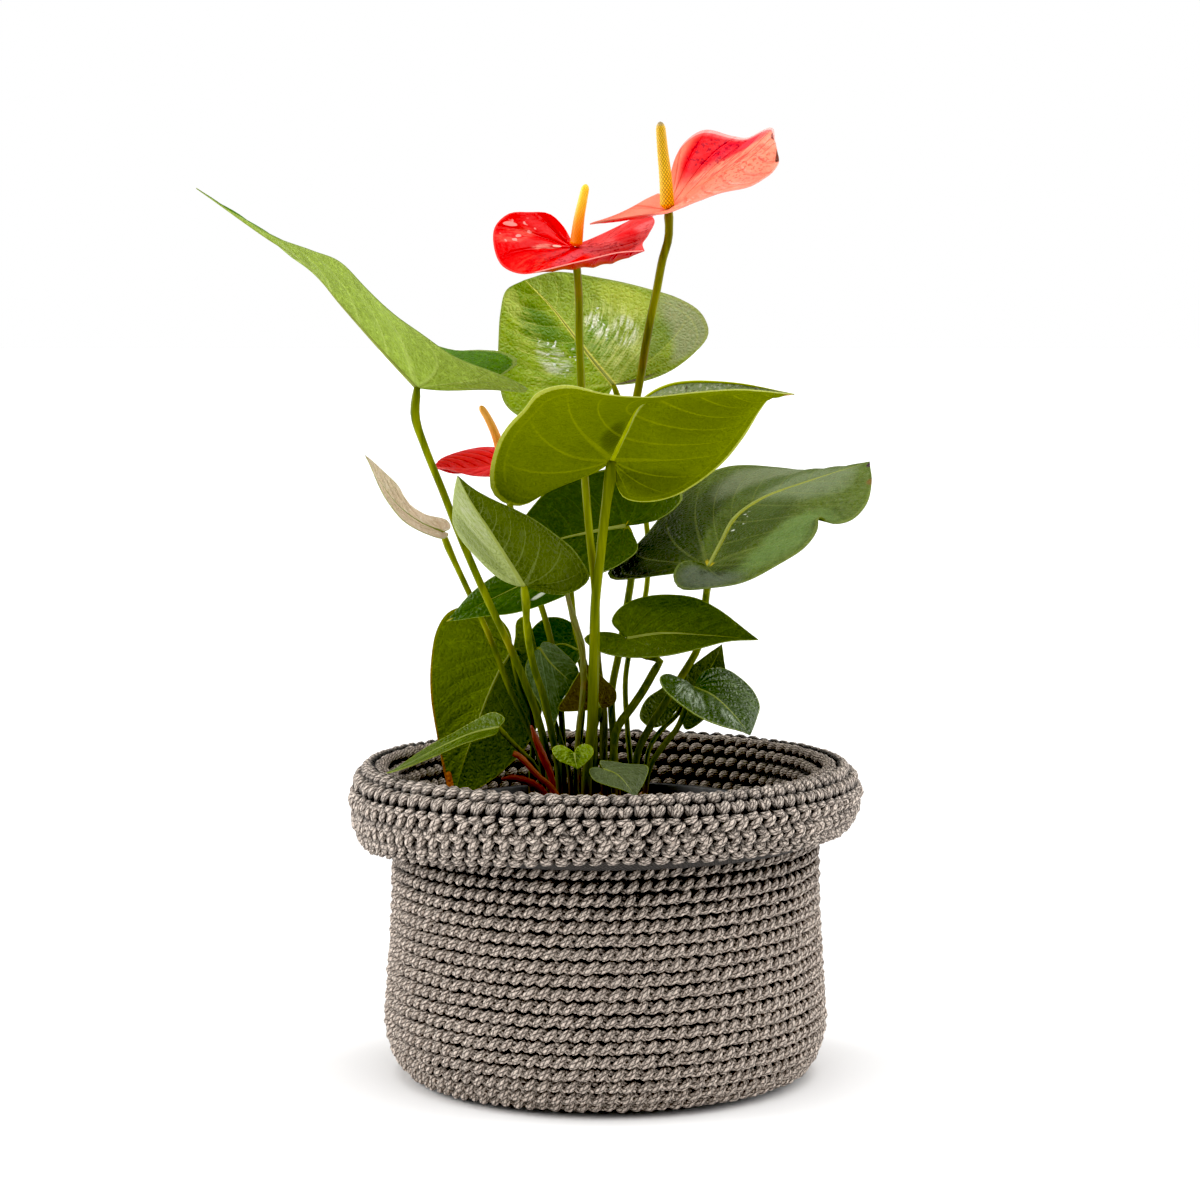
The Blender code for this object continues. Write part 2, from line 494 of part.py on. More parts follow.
def ridged(profile, pitch, relief):
    """A profile's side as cord rows: a groove and a ridge for each row."""
    profile = np.array(profile, dtype=float)
    along = np.concatenate([[0], np.cumsum(np.linalg.norm(np.diff(profile, axis=0), axis=1))])
    rows = round(along[-1] / pitch)
    places = np.linspace(0, along[-1], 2 * rows + 1)
    points = np.column_stack([np.interp(places, along, profile[:, k]) for k in range(2)])
    directions = np.gradient(points, axis=0)
    outward = np.column_stack([-directions[:, 1], directions[:, 0]])
    outward /= np.linalg.norm(outward, axis=1)[:, None]
    signs = np.where(np.arange(len(points)) % 2, relief, -relief)
    return points + outward * signs[:, None]


def stand_stitches(mesh, ridges):
    """Moves every other point of a ridge out and the rest in, staggered from one row to the next."""
    for vertex in mesh.vertices:
        x, y, z = vertex.co / MM
        radius = math.hypot(x, y)
        distances = np.linalg.norm(ridges - (radius, z), axis=1)
        row = int(distances.argmin())
        if distances[row] < GAP:
            column = round(math.atan2(y, x) / math.tau * BASKET_TURN_STEPS)
            swell = STITCH_RELIEF if (row + column) % 2 else -STITCH_RELIEF
            vertex.co.x *= 1 + swell / radius
            vertex.co.y *= 1 + swell / radius


def make_basket(parts):
    """The basket: rows of stitches turned about the axis, with a rolled collar and an open top."""
    inner = [(0, BASKET_FLOOR), (FLOOR_RADIUS, BASKET_FLOOR), *INNER_WALL, *CREST_PROFILE]
    collar = ridged([CREST_PROFILE[-1], *COLLAR_PROFILE], ROW_PITCH, ROW_RELIEF)
    body = ridged(BODY_PROFILE, ROW_PITCH, ROW_RELIEF)
    profile = [*inner, *map(tuple, collar[1:]), *map(tuple, body), *BASE_PROFILE, (0, 0)]
    basket = turned("basket", profile, BASKET_TURN_STEPS, parts, "cord")
    bpy.context.view_layer.update()
    evaluated = basket.evaluated_get(bpy.context.evaluated_depsgraph_get())
    mesh = bpy.data.meshes.new_from_object(evaluated)
    stand_stitches(mesh, np.vstack([collar[1::2], body[1::2]]))
    basket.modifiers.clear()
    basket.data = mesh


def make_nursery_pot(parts):
    """The thin plastic pot inside the basket, with a turned-down lip."""
    floor = BASKET_FLOOR + GAP
    top = floor + POT_HEIGHT
    shoulder = POT_RIM_RADIUS - POT_LIP
    profile = [
        (0, floor + POT_WALL),
        (POT_BASE_RADIUS - POT_WALL, floor + POT_WALL),
        (shoulder - POT_WALL, top - POT_LIP_DROP),
        (shoulder - POT_WALL, top - POT_LIP_ROUND),
        (shoulder - POT_WALL + POT_LIP_ROUND, top),
        (POT_RIM_RADIUS - POT_LIP_ROUND, top),
        (POT_RIM_RADIUS, top - POT_LIP_ROUND),
        (POT_RIM_RADIUS, top - POT_LIP_DROP),
        (shoulder, top - POT_LIP_DROP),
        (POT_BASE_RADIUS, floor),
        (0, floor),
    ]
    turned("nursery_pot", profile, POT_TURN_STEPS, parts, "black_plastic")


def make_soil(parts, helpers):
    """The soil, with a plain hole for each stem."""
    bottom = BASKET_FLOOR + POT_WALL + 2 * GAP
    foot = POT_BASE_RADIUS - POT_WALL - 2 * GAP
    wall_top = BASKET_FLOOR + GAP + POT_HEIGHT - POT_LIP_DROP
    inner_top = POT_RIM_RADIUS - POT_LIP - POT_WALL - 2 * GAP
    profile = [
        (0, SOIL_LEVEL + SOIL_CROWN),
        (SOIL_CROWN_RADIUS, SOIL_LEVEL + SOIL_CROWN / 2),
        (inner_top - SOIL_SHOULDER, SOIL_LEVEL),
        (inner_top, SOIL_LEVEL - 1),
        (inner_top, wall_top),
        (foot, bottom),
        (0, bottom),
    ]
    soil = turned("soil", profile, SOIL_STEPS, parts, "soil")
    holes = [(leaf["root"], leaf["radius"]) for leaf in LEAVES.values()]
    holes += [(bloom["root"], bloom["radius"]) for bloom in BLOOMS.values()]
    holes += [(sheath["root"], sheath["radii"][-1]) for sheath in SHEATHS.values()]
    for number, (root, radius) in enumerate(holes, 1):
        name = f"stem_hole_{number}"
        ends = [(*root, SOIL_LEVEL + HOLE_DEPTH), (*root, SOIL_LEVEL - HOLE_DEPTH)]
        bore = tube_mesh(name, ends, [radius + HOLE_CLEARANCE] * 2, resolution=HOLE_BEVEL_RESOLUTION)
        boolean(soil, helper(name, bore, helpers), "DIFFERENCE")


def blade_detail(shape):
    """How finely a blade is divided: more on a large one."""
    length = np.linalg.norm(np.diff(from_sheet(shape["rib"]), axis=0), axis=1).sum()
    if length > LONG_RIB:
        return dict(lobe_steps=7, rib_steps=8, rings=3)
    if length > MIDDLING_RIB:
        return dict(lobe_steps=6, rib_steps=6, rings=2)
    return dict(lobe_steps=4, rib_steps=4, rings=2)


def make_blade(name, shape, parts, colour):
    """A blade of even thickness on its drawn surface."""
    made = add_object(name, blade_mesh(name, shape, **blade_detail(shape)), parts, colour)
    thickness = made.modifiers.new("thickness", "SOLIDIFY")
    thickness.thickness = BLADE_THICKNESS * MM
    thickness.offset = 0
    return made


def make_leaf(name, leaf, parts, helpers):
    """One leaf: its blade, with the petiole and the start of the midrib joined to it."""
    blade = make_blade(name, leaf, parts, LEAF_COLOURS.get(name, "leaf_green"))
    path = stem_path(leaf["rib"][0], leaf["petiole"], leaf["root"])
    radii = np.full(len(path), leaf["radius"])
    radii[0] *= STEM_TOP_SHARE
    stem = helper(f"{name}_petiole", tube_mesh(f"{name}_petiole", path, radii), helpers)
    boolean(blade, stem, "UNION", "MANIFOLD" if name in CURLED_LEAVES else "EXACT")


def make_bloom(name, bloom, parts):
    """One bloom: the spathe, the floret-covered spadix on it and the peduncle under it."""
    make_blade(f"bloom_{name}_spathe", bloom, parts, bloom["colour"])
    make_peduncle(f"bloom_{name}_peduncle", bloom, parts)
    make_spadix(f"bloom_{name}_spadix", bloom, parts)


def make_peduncle(name, bloom, parts):
    """The stem under a spathe, starting just clear of it."""
    path = stem_path(bloom["rib"][0], bloom["peduncle"], bloom["root"])
    direction = path[1] - path[0]
    path[0] += direction / np.linalg.norm(direction) * PEDUNCLE_DROP
    radii = np.full(len(path), bloom["radius"])
    radii[0] = bloom["flare"]
    add_object(name, tube_mesh(name, path, radii), parts, "stem_green")


def make_spadix(name, bloom, parts):
    """A tapering spike whose florets stand up in a diamond pattern."""
    path = smooth_path(from_sheet(bloom["spadix"]), SPADIX_RINGS)
    radii = np.linspace(*bloom["spadix_radius"], SPADIX_RINGS)
    radii[:2] *= SPADIX_FOOT_SHARES
    radii[-2:] *= SPADIX_TIP_SHARES
    points = []
    faces = []
    for ring, (centre, radius) in enumerate(zip(path, radii)):
        for side in range(SPADIX_SIDES):
            turn = math.tau * side / SPADIX_SIDES
            reach = radius * (1 + FLORET_RELIEF * (1 if (side + ring) % 2 else -1))
            points.append((centre + [reach * math.cos(turn), reach * math.sin(turn), 0]) * MM)
            if ring:
                row = (ring - 1) * SPADIX_SIDES
                below = (row + side, row + (side + 1) % SPADIX_SIDES)
                faces.append((*below, below[1] + SPADIX_SIDES, below[0] + SPADIX_SIDES))
    faces.append(range(SPADIX_SIDES)[::-1])
    faces.append(range(len(points) - SPADIX_SIDES, len(points)))
    mesh = bpy.data.meshes.new(name)
    mesh.from_pydata(points, [], faces)
    add_object(name, mesh, parts, "spadix_yellow")


def make_sheath(name, sheath, parts):
    """A tapering sheath or stub that grows from the soil."""
    root = sheath["root"]
    foot = [(*root, SOIL_LEVEL + 1), (*root, SOIL_LEVEL - STEM_DEPTH)]
    route = np.vstack([from_sheet(sheath["points"]), foot])
    add_object(name, tube_mesh(name, route, sheath["radii"]), parts, "sheath_brown")


def main():
    for found in list(bpy.data.objects):
        bpy.data.objects.remove(found)
    parts = bpy.data.collections.new("potted_anthurium")
    helpers = bpy.data.collections.new("cutters")
    bpy.context.scene.collection.children.link(parts)
    bpy.context.scene.collection.children.link(helpers)
    make_basket(parts)
    make_nursery_pot(parts)
    make_soil(parts, helpers)
    for name, leaf in LEAVES.items():
        make_leaf(name, leaf, parts, helpers)
    for name, bloom in BLOOMS.items():
        make_bloom(name, bloom, parts)
    for name, sheath in SHEATHS.items():
        make_sheath(name, sheath, parts)


main()
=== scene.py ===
"""The looks of a potted anthurium: heart-leaved, with three blooms, in a crocheted cord basket.

Lengths are in millimetres until a mesh is made. The plant's points are drawn on an upright sheet through
the basket's axis, as a level eye far in front of it sees them: across, up and then the depth behind the
sheet. Each point slides along its line of sight to that depth.
"""

import math

import bmesh
import bpy
import numpy as np
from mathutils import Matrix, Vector, noise


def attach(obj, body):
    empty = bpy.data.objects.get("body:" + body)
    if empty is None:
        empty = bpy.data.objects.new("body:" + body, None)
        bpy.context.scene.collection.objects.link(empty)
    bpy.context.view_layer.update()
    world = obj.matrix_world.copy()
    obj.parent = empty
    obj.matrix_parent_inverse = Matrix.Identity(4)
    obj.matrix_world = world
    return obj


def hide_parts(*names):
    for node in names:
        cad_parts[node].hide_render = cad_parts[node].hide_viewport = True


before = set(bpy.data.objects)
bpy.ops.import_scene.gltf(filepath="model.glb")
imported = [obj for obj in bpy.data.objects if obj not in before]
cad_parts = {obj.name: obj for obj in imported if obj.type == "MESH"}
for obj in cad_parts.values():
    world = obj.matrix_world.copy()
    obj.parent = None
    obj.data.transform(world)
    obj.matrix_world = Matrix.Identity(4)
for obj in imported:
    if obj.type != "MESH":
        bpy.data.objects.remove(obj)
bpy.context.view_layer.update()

MM = 0.001
SEED = 7
PATH_SAMPLES = 12
PROFILE_SAMPLES = 200
WELD = 0.02
TINY = 1e-9

# The eye that the sheet is drawn for, and the place of the basket's axis in the photograph's frame
EYE_DISTANCE = 1800
EYE_HEIGHT = 419
FRAME_PIXELS = 1200
AXIS_PIXEL = 605.5
# Camera: its distance and height, its tilt below level in radians, its lens and its sensor
CAMERA_DISTANCE = 1652
CAMERA_HEIGHT = 393.3
CAMERA_TILT = 0.0944
LENS = 100.2
SENSOR = 36

# Basket
BASKET_HEIGHT = 154.6
BODY_PROFILE = [(105, 119), (104.5, 105), (105, 85), (106, 65), (107.5, 45), (108.3, 27), (106.5, 17),
                (103, 9), (97, 3), (88, 0)]
COLLAR_PROFILE = [(112, 154), (116.5, BASKET_HEIGHT), (120, 152.5), (124.6, 146.5), (125, 140), (123, 132),
                  (118.5, 125), (111, 121)]
INNER_PROFILE = [(112, 154), (107.5, 150), (103, 141), (100, 120), (100.5, 70), (101, 30), (98, 12)]
FLOOR_LEVEL = 7

# Nursery pot and soil
POT_RIM_RADIUS = 85
POT_BASE_RADIUS = 66
POT_FOOT = 7.3
POT_TOP = 133.3
POT_WALL = 1.4
POT_LIP = 3
POT_LIP_DROP = 9
SOIL_LEVEL = 127
SOIL_RADIUS = 80
STEM_DEPTH = 12

# Each leaf: rib from junction to tip, the two margins from the sinus round the lobe towards the tip,
# the petiole below the junction, where it enters the soil, its radius, and how far each half bellies
LEAVES = {
    "leaf_far_left": dict(
        rib=[(-93, 342, -10), (-107, 357, -8), (-130, 383, -4), (-147, 403, -2), (-167, 416, -2),
             (-201, 440, 0)],
        near=[(-85, 341, -11), (-73, 341, -13), (-55, 340.5, -20), (-40, 339.5, -30), (-38, 341, -35),
              (-43, 344, -39), (-55, 349, -41), (-74, 357, -41), (-92, 369, -40), (-103, 377, -39),
              (-118, 391, -36), (-131, 404, -31), (-144, 409, -24), (-160, 415, -14), (-178, 425, -6)],
        far=[(-84, 341, -7), (-74, 342, -3), (-61, 345, 7), (-49, 350, 18), (-43, 356, 26), (-50, 360, 31),
             (-62, 361, 35), (-77, 361, 38), (-100, 372, 40), (-125, 392, 34), (-148, 407, 22),
             (-172, 421, 8)],
        petiole=[(-94, 328, -11), (-89, 312, -12), (-81, 292, -13), (-71, 266, -15), (-59, 238, -17),
                 (-46, 210, -15), (-35, 182, -11), (-29, 158, -8)],
        root=(-27, -7), radius=1.9, belly=(-1, 1)),
    "leaf_pale_young": dict(
        rib=[(-81, 271, 28), (-91, 275, 26), (-102, 283, 24), (-112, 296, 22), (-119, 309, 20)],
        near=[(-78, 270, 22), (-80, 268, 20), (-88, 270, 18), (-100, 276, 15), (-108, 286, 15),
              (-115, 300, 17)],
        far=[(-77, 273, 34), (-79, 277, 38), (-90, 280, 40), (-99, 286, 38), (-103, 294, 34),
             (-112, 303, 27)],
        petiole=[(-78, 263, 25), (-68, 241, 17), (-57, 217, 6), (-48, 193, 2), (-38, 172, 2),
                 (-32, 155, 4)],
        root=(-31, 6), radius=1.5, belly=(1, 1)),
    "leaf_back": dict(
        rib=[(4, 344, 34), (-6, 356, 44), (-16, 369, 52), (-27, 383, 58), (-40, 396, 58)],
        near=[(1, 338, 34), (-10, 328, 34), (-28, 324, 35), (-42, 328, 37), (-50, 335, 40), (-53, 350, 44),
              (-53, 366, 49), (-52, 380, 53), (-49, 391, 56)],
        far=[(9, 344, 36), (20, 346, 40), (34, 352, 45), (45, 361, 50), (51, 370, 56), (47, 380, 62),
             (36, 387, 67), (20, 392, 70), (-2, 397, 70), (-25, 400, 65)],
        petiole=[(8, 332, 34), (16, 300, 40), (21, 268, 46), (20, 240, 41), (14, 220, 35), (10, 198, 29),
                 (11, 172, 24), (13, 150, 20)],
        root=(13, 19), radius=1.4, belly=(2, 2)),
    "leaf_front_tall": dict(
        rib=[(3, 306, -26), (10, 321, -42), (17, 334, -58), (33, 343, -72), (62, 343.5, -80),
             (93, 338, -80)],
        near=[(-4, 301, -23), (-14, 297.5, -20), (-26, 293.5, -20), (-33, 289, -23), (-39, 284.5, -26),
              (-48, 284, -31), (-56, 290, -34), (-57, 301, -40), (-53, 315, -50), (-47, 324, -60),
              (-40, 331, -72), (-33, 339, -84), (-20, 342.5, -94), (-2, 338, -102), (20, 336, -106),
              (45, 339, -104), (70, 340, -97)],
        far=[(5, 297, -24), (9, 288, -22), (20, 285.5, -22), (33, 288, -24), (46, 295, -28), (58, 305, -36),
             (68, 317, -46), (76, 330, -58), (83, 338, -70)],
        petiole=[(2, 296, -26), (0, 282, -27), (-3, 255, -28), (-5, 236, -28), (-6, 205, -27), (-7, 175, -25),
                 (-9, 152, -24)],
        root=(-10, -23), radius=2.4, belly=(-3, -3)),
    "leaf_right_large": dict(
        rib=[(51, 253, 0), (57, 265, 12), (64, 278, 24), (78, 288, 34), (100, 296, 40), (131, 306, 42)],
        near=[(46, 256, -4), (37, 255.5, -9), (33.5, 249, -14), (37, 242.5, -20), (54, 243, -26),
              (69, 246, -28), (87, 255, -25), (99, 263, -19), (105, 272, -11), (106, 279, -5),
              (112, 275, -5), (121, 276, -2), (129, 284, 8), (132, 295, 24)],
        far=[(46, 251.5, 0), (38, 250.5, 1), (26, 249, 4), (12, 247.5, 8), (3, 247.5, 13), (1, 251, 18),
             (10, 259, 25), (20, 270, 36), (30, 282, 48), (42, 294, 58), (58, 303, 66), (84, 304, 68),
             (106, 301, 62), (120, 303, 54)],
        petiole=[(51, 246, 9), (50, 239, 17), (49, 228, 20), (46, 213, 15), (38, 199, 11), (30, 186, 7),
                 (22, 173, 4), (16, 160, 2)],
        root=(14, 1), radius=1.9, belly=(2, 2)),
    "leaf_front_left": dict(
        rib=[(-40.5, 243.5, -44), (-48, 256, -50), (-58, 272, -58), (-67, 286, -64), (-73, 298, -68)],
        near=[(-45, 244, -40), (-53, 248, -37), (-62, 256, -34), (-71, 266, -34), (-75.5, 275, -38),
              (-75.5, 283, -46), (-74.5, 291, -58)],
        far=[(-30, 240, -40), (-20, 239.5, -34), (-12, 243, -28), (-8, 248, -26), (-12, 256, -28),
             (-17, 263, -32), (-26, 270, -38), (-36, 277, -44), (-46, 282, -49), (-55, 286, -55),
             (-66, 292, -63)],
        petiole=[(-39.5, 236, -42), (-39, 222, -36), (-36, 205, -29), (-31, 189, -23), (-27, 171, -19),
                 (-24, 155, -17)],
        root=(-22, -16), radius=1.8, belly=(-1, -2)),
    "leaf_behind_front_left": dict(
        rib=[(-19, 251, 0), (-35, 247, -1), (-55, 238, -3), (-79, 226, -6)],
        near=[(-13, 248, -2), (-9, 246, -3), (-17, 240.5, -6), (-32, 234, -8), (-46, 230, -9),
              (-60, 228.5, -9), (-71, 227, -8)],
        far=[(-15, 255, 2), (-13, 258, 4), (-20, 260, 5), (-38, 257, 4), (-55, 249, 2), (-67, 240, 0),
             (-74, 232, -3)],
        petiole=[(-17, 240, 6), (-15, 222, 9), (-10, 204, 11), (-6, 180, 12), (-5, 155, 12)],
        root=(-6, 13), radius=1.4, belly=(-2, -2)),
    "leaf_dark_middle": dict(
        rib=[(10, 274, 22), (-2, 272, 22), (-16, 269, 22), (-30, 266, 22), (-43, 267, 22)],
        near=[(14, 269, 20), (16, 262, 16), (8, 255, 13), (0, 251, 12), (-10, 248.5, 12), (-24, 252, 14),
              (-36, 259, 18)],
        far=[(18, 275, 20), (26, 277, 16), (36, 284, 14), (38.5, 289, 16), (28, 298, 22), (8, 303, 27),
             (-12, 299, 27), (-27, 293, 26), (-36, 284, 25), (-42, 275, 23)],
        petiole=[(12, 268, 29), (13, 260, 34), (13, 250, 32), (11, 236, 27), (7, 212, 18), (3, 190, 13),
                 (4, 168, 10), (5, 150, 9)],
        root=(6, 9), radius=1.9, belly=(1, 1)),
    "leaf_right_middle": dict(
        rib=[(11, 217.5, 5), (28, 220, 3), (50, 219, 0), (76, 217, -3)],
        near=[(6, 220, 3), (-2, 221, 2), (-8, 220, 2), (-11, 217.5, 1), (-5, 212, 0), (8, 208.5, -6),
              (28, 208.5, -14), (45, 212, -13), (60, 216, -9)],
        far=[(7, 221, 6), (3, 226, 7), (6, 232, 11), (14, 237, 15), (28, 239.5, 18), (44, 238, 17),
             (55, 233, 12), (66, 225, 5)],
        petiole=[(18, 210, 12), (27, 207, 16), (24, 201, 14), (19, 192, 9), (13, 183, 4), (6, 173, -1),
                 (4, 158, -7)],
        root=(4, -9), radius=2.1, belly=(1, 1)),
    "leaf_right_low_upright": dict(
        rib=[(39, 187, 22), (47, 196, 24), (54, 206, 25), (58, 215, 24)],
        near=[(36, 183, 21), (30, 175, 18), (23, 173, 15), (17, 178, 14), (20, 187, 16), (28, 193, 19),
              (40, 202, 23), (51, 210, 25)],
        far=[(38, 180, 22), (40, 172, 20), (48, 176, 20), (56, 186, 22), (60, 198, 24), (59, 208, 24)],
        petiole=[(36, 180, 25), (28, 172, 22), (22, 163, 16), (20, 152, 13)],
        root=(20, 11), radius=1.3, belly=(1, 1)),
    "leaf_right_low_glossy": dict(
        rib=[(44, 193, -14), (53, 189, -20), (63, 180, -26), (72, 169, -30)],
        near=[(38, 197, -16), (31, 200, -20), (27, 198, -26), (29, 192, -33), (35, 186, -39),
              (45, 179, -43), (57, 174, -42), (67, 171, -36)],
        far=[(46, 198, -10), (51, 202, -4), (60, 202, 2), (67, 198, 4), (73, 192, 2), (76.5, 184, -6),
             (75, 177, -17)],
        petiole=[(40, 183, -9), (36, 173, -6), (29, 164, -8), (22, 153, -10)],
        root=(19, -12), radius=1.5, belly=(2, 2)),
    "leaf_twisted_centre": dict(
        rib=[(-33, 213, 4), (-28, 206, 3), (-22, 200, 4), (-17, 196, 6), (-13, 198, 8)],
        near=[(-37, 210, 1), (-40, 203, -3), (-38, 194, -6), (-33, 185, -8), (-27, 172, -8),
              (-24, 178, -7), (-22, 186, -3), (-18, 192, 2)],
        far=[(-31, 216, 8), (-26, 215, 10), (-19, 209, 10), (-14, 203, 9)],
        petiole=[(-33, 205, 8), (-28, 185, 8), (-22, 165, 5), (-18, 150, 2)],
        root=(-17, -1), radius=1.3, belly=(1, 1)),
    "leaf_hanging_left": dict(
        rib=[(-46, 212, 14), (-52, 203, 12), (-59, 188, 9), (-66, 169, 6), (-72, 152, 3), (-75, 140, 1)],
        near=[(-48, 222, 15), (-57, 231, 17), (-68, 234, 17), (-78, 231, 15), (-84, 222, 13),
              (-87, 206, 10), (-87, 188, 7), (-84, 168, 4), (-80, 148, 1), (-78, 141, 0)],
        far=[(-45, 219, 17), (-44, 227, 20), (-39, 229, 22), (-36, 220, 21), (-32, 200, 19),
             (-32, 180, 17), (-39, 164, 13), (-48, 154, 9), (-59, 145, 5), (-69, 140, 3)],
        petiole=[(-45, 204, 10), (-43, 194, 8), (-38, 182, 9), (-36, 168, 12), (-37, 152, 14)],
        root=(-37, 15), radius=1.5, belly=(-2, -2)),
    "leaf_rim_left": dict(
        rib=[(-53, 173, -44), (-66, 170, -48), (-84, 162, -54), (-98, 154.5, -58), (-109, 150, -60)],
        near=[(-54, 170, -48), (-59, 168, -54), (-72, 164, -62), (-86, 158, -68), (-98, 153, -68)],
        far=[(-50, 177, -40), (-56, 180.5, -34), (-66, 176, -32), (-80, 168, -36), (-95, 159, -46),
             (-104, 153, -54)],
        petiole=[(-49, 168, -41), (-42, 161, -37), (-34, 152, -34)],
        root=(-31, -34), radius=1.2, belly=(1, 1)),
    "leaf_small_back": dict(
        rib=[(-14, 212, 26), (-21, 215, 28), (-29, 213, 27), (-37, 207, 24)],
        near=[(-13, 208, 22), (-18, 203, 18), (-27, 203, 18), (-34, 205, 21)],
        far=[(-12, 217, 30), (-15, 224, 34), (-22, 228, 35), (-30, 228, 33), (-37, 222, 30),
             (-39, 213, 26)],
        petiole=[(-12, 203, 28), (-11, 185, 26), (-13, 160, 23)],
        root=(-13, 22), radius=1.2, belly=(1, 1)),
    "leaf_olive_centre": dict(
        rib=[(-3, 183, 0), (-6, 190, 0), (-9, 198, 0), (-10, 205, 1)],
        near=[(-6, 182, -2), (-14, 181, -4), (-24, 182, -6), (-20, 189, -5), (-14, 199, -3)],
        far=[(0, 183, 2), (5, 186, 3), (5, 192, 3), (0, 197, 2), (-6, 203, 1)],
        petiole=[(-5, 174, 3), (-8, 158, 1)],
        root=(-8, 1), radius=1.5, belly=(1, 1)),
    "leaf_tiny_heart": dict(
        rib=[(-15.5, 160, -52), (-15, 156, -54), (-14, 152, -55)],
        near=[(-18, 162, -50), (-23, 164, -48), (-26.5, 162, -48), (-24, 157, -51), (-18, 154, -54)],
        far=[(-14, 163, -50), (-11, 164.5, -47), (-7, 163.5, -46), (-6, 160, -48), (-10, 155, -52)],
        petiole=[(-15, 155, -46), (-15, 146, -43)],
        root=(-14, -41), radius=1, belly=(1, 1)),
    "leaf_low_front": dict(
        rib=[(-1, 152, -44), (6, 149, -48), (15, 138, -52)],
        near=[(-5, 153, -45), (-8, 152, -47), (-6, 147, -51), (2, 143.5, -54), (9, 141.5, -55)],
        far=[(-3, 156, -40), (2, 156, -36), (11, 154.5, -34), (21, 153.5, -36), (20, 147, -43)],
        petiole=[(0, 148, -38), (2, 142, -36)],
        root=(4, -34), radius=1, belly=(1, 1)),
}

# Each bloom: its spathe drawn like a leaf, the peduncle below it, and the spadix from base to tip
BLOOMS = {
    "centre": dict(
        rib=[(-15, 411, 0), (-8, 407, -10), (4, 405, -22), (19, 409, -34)],
        near=[(-17, 415, 3), (-21, 422, 8), (-28, 428, 12), (-38, 428.5, 12), (-47, 428, 8), (-54, 422, 2),
              (-55, 413, -8), (-51, 402, -20), (-42, 398, -28), (-28, 400, -36), (-10, 404, -42),
              (6, 408, -42)],
        far=[(-13, 413, 6), (-8, 415, 14), (1, 419, 21), (11, 424, 26), (19, 428, 25), (24, 425, 16),
             (21, 418, 2), (18, 413, -16)],
        peduncle=[(-14, 400, 0), (-13, 385, 0), (-13, 371, -1), (-12, 343, -3), (-11, 310, -6),
                  (-8, 270, -10), (-5, 240, -12), (-5, 205, -12), (-6, 170, -11)],
        root=(-7, -10), radius=2, flare=1.7, belly=(-3, -3), colour="spathe_red",
        spadix=[(-14.6, 413.2, 0), (-13, 425, -1), (-11, 435, -1), (-9.5, 442, -1)],
        spadix_radius=(3.2, 1.9)),
    "upper_right": dict(
        rib=[(31, 430, 6), (45, 440, 8), (60, 448, 6), (74, 455, 2), (84, 459, -2)],
        near=[(28, 438, 14), (21, 435.5, 13), (14, 431.5, 8), (6, 427.5, 2), (-8, 422, -6),
              (4, 424.5, -12), (20, 427, -17), (30, 427.5, -20), (43, 432.5, -23), (55, 437, -24),
              (70, 440.5, -21), (78, 445, -15), (82, 448, -11), (85, 453, -7)],
        far=[(31, 438, 14), (32, 447, 20), (35, 457, 25), (40, 464, 28), (49, 469, 31), (62, 466, 30),
             (70, 465, 25), (77, 468.5, 20), (82, 469.5, 12), (83, 464, 5)],
        peduncle=[(31, 416, 7), (28, 405, 8), (25, 389, 10), (21, 370, 13), (17, 346, 17), (10, 312, 28),
                  (2, 280, 36), (-4, 248, 30), (-5, 225, 18), (-4, 205, 10), (-1, 180, 4), (-1, 160, 0)],
        root=(0, -3), radius=2.1, flare=1.8, belly=(-2, -2), colour="spathe_salmon",
        spadix=[(30.5, 431.5, 5), (29.5, 445, 4), (28, 459, 4), (26.8, 472.5, 3)],
        spadix_radius=(3.5, 2.2)),
    "left": dict(
        rib=[(-50, 305, 15), (-62, 302, 12), (-75, 300, 8), (-85, 303, 5)],
        near=[(-47, 303, 11), (-46, 300, 6), (-55, 298.5, 0), (-67, 299, -2), (-78, 302, 0)],
        far=[(-47, 307, 19), (-48, 311, 26), (-58, 313, 30), (-70, 311.5, 27), (-81, 307.5, 17)],
        peduncle=[(-48, 288, 15), (-43, 265, 15), (-34, 240, 14), (-28, 220, 13), (-23, 190, 11),
                  (-21, 160, 9)],
        root=(-21, 9), radius=1.6, flare=1.4, belly=(-1, -1), colour="spathe_red",
        spadix=[(-50.6, 307, 15), (-54, 318, 14), (-58, 327, 13), (-62, 333.5, 13)],
        spadix_radius=(2.6, 1.7)),
}

# Sheaths: the points from the tip down, where each enters the soil, and the widest radius
SHEATHS = {
    "sheath_pointed": dict(
        points=[(-20, 249, -20), (-19, 240, -20), (-16, 228, -18), (-12, 214, -15), (-11, 195, -12),
                (-14, 165, -12)],
        root=(-14, -12), radii=(0.5, 1.1, 1.7, 1.8, 1.5, 1.4, 1.4, 1.4)),
    "sheath_red": dict(
        points=[(-37, 174, -30), (-35, 168, -30), (-31, 158, -30), (-27, 148, -30)],
        root=(-25, -30), radii=(0.5, 1.5, 2, 1.6, 1.4, 1.4)),
    "sheath_low": dict(
        points=[(-52, 147, -39), (-46, 147.5, -39), (-37, 145, -39), (-30, 139, -39)],
        root=(-27, -39), radii=(0.6, 1.7, 1.9, 1.6, 1.4, 1.4)),
    "stub_dry": dict(
        points=[(-46, 160, -50), (-43, 158.5, -50), (-34, 149, -48), (-25, 140, -46)],
        root=(-21, -45), radii=(1.3, 1.5, 1.4, 1.4, 1.5, 1.5)),
}


def from_sheet(points):
    """Slides sheet points (across, up, depth) along their lines of sight to their depths."""
    across, up, depth = np.array(points, dtype=float).T
    spread = 1 + depth / EYE_DISTANCE
    return np.column_stack([across * spread, depth, EYE_HEIGHT + (up - EYE_HEIGHT) * spread])


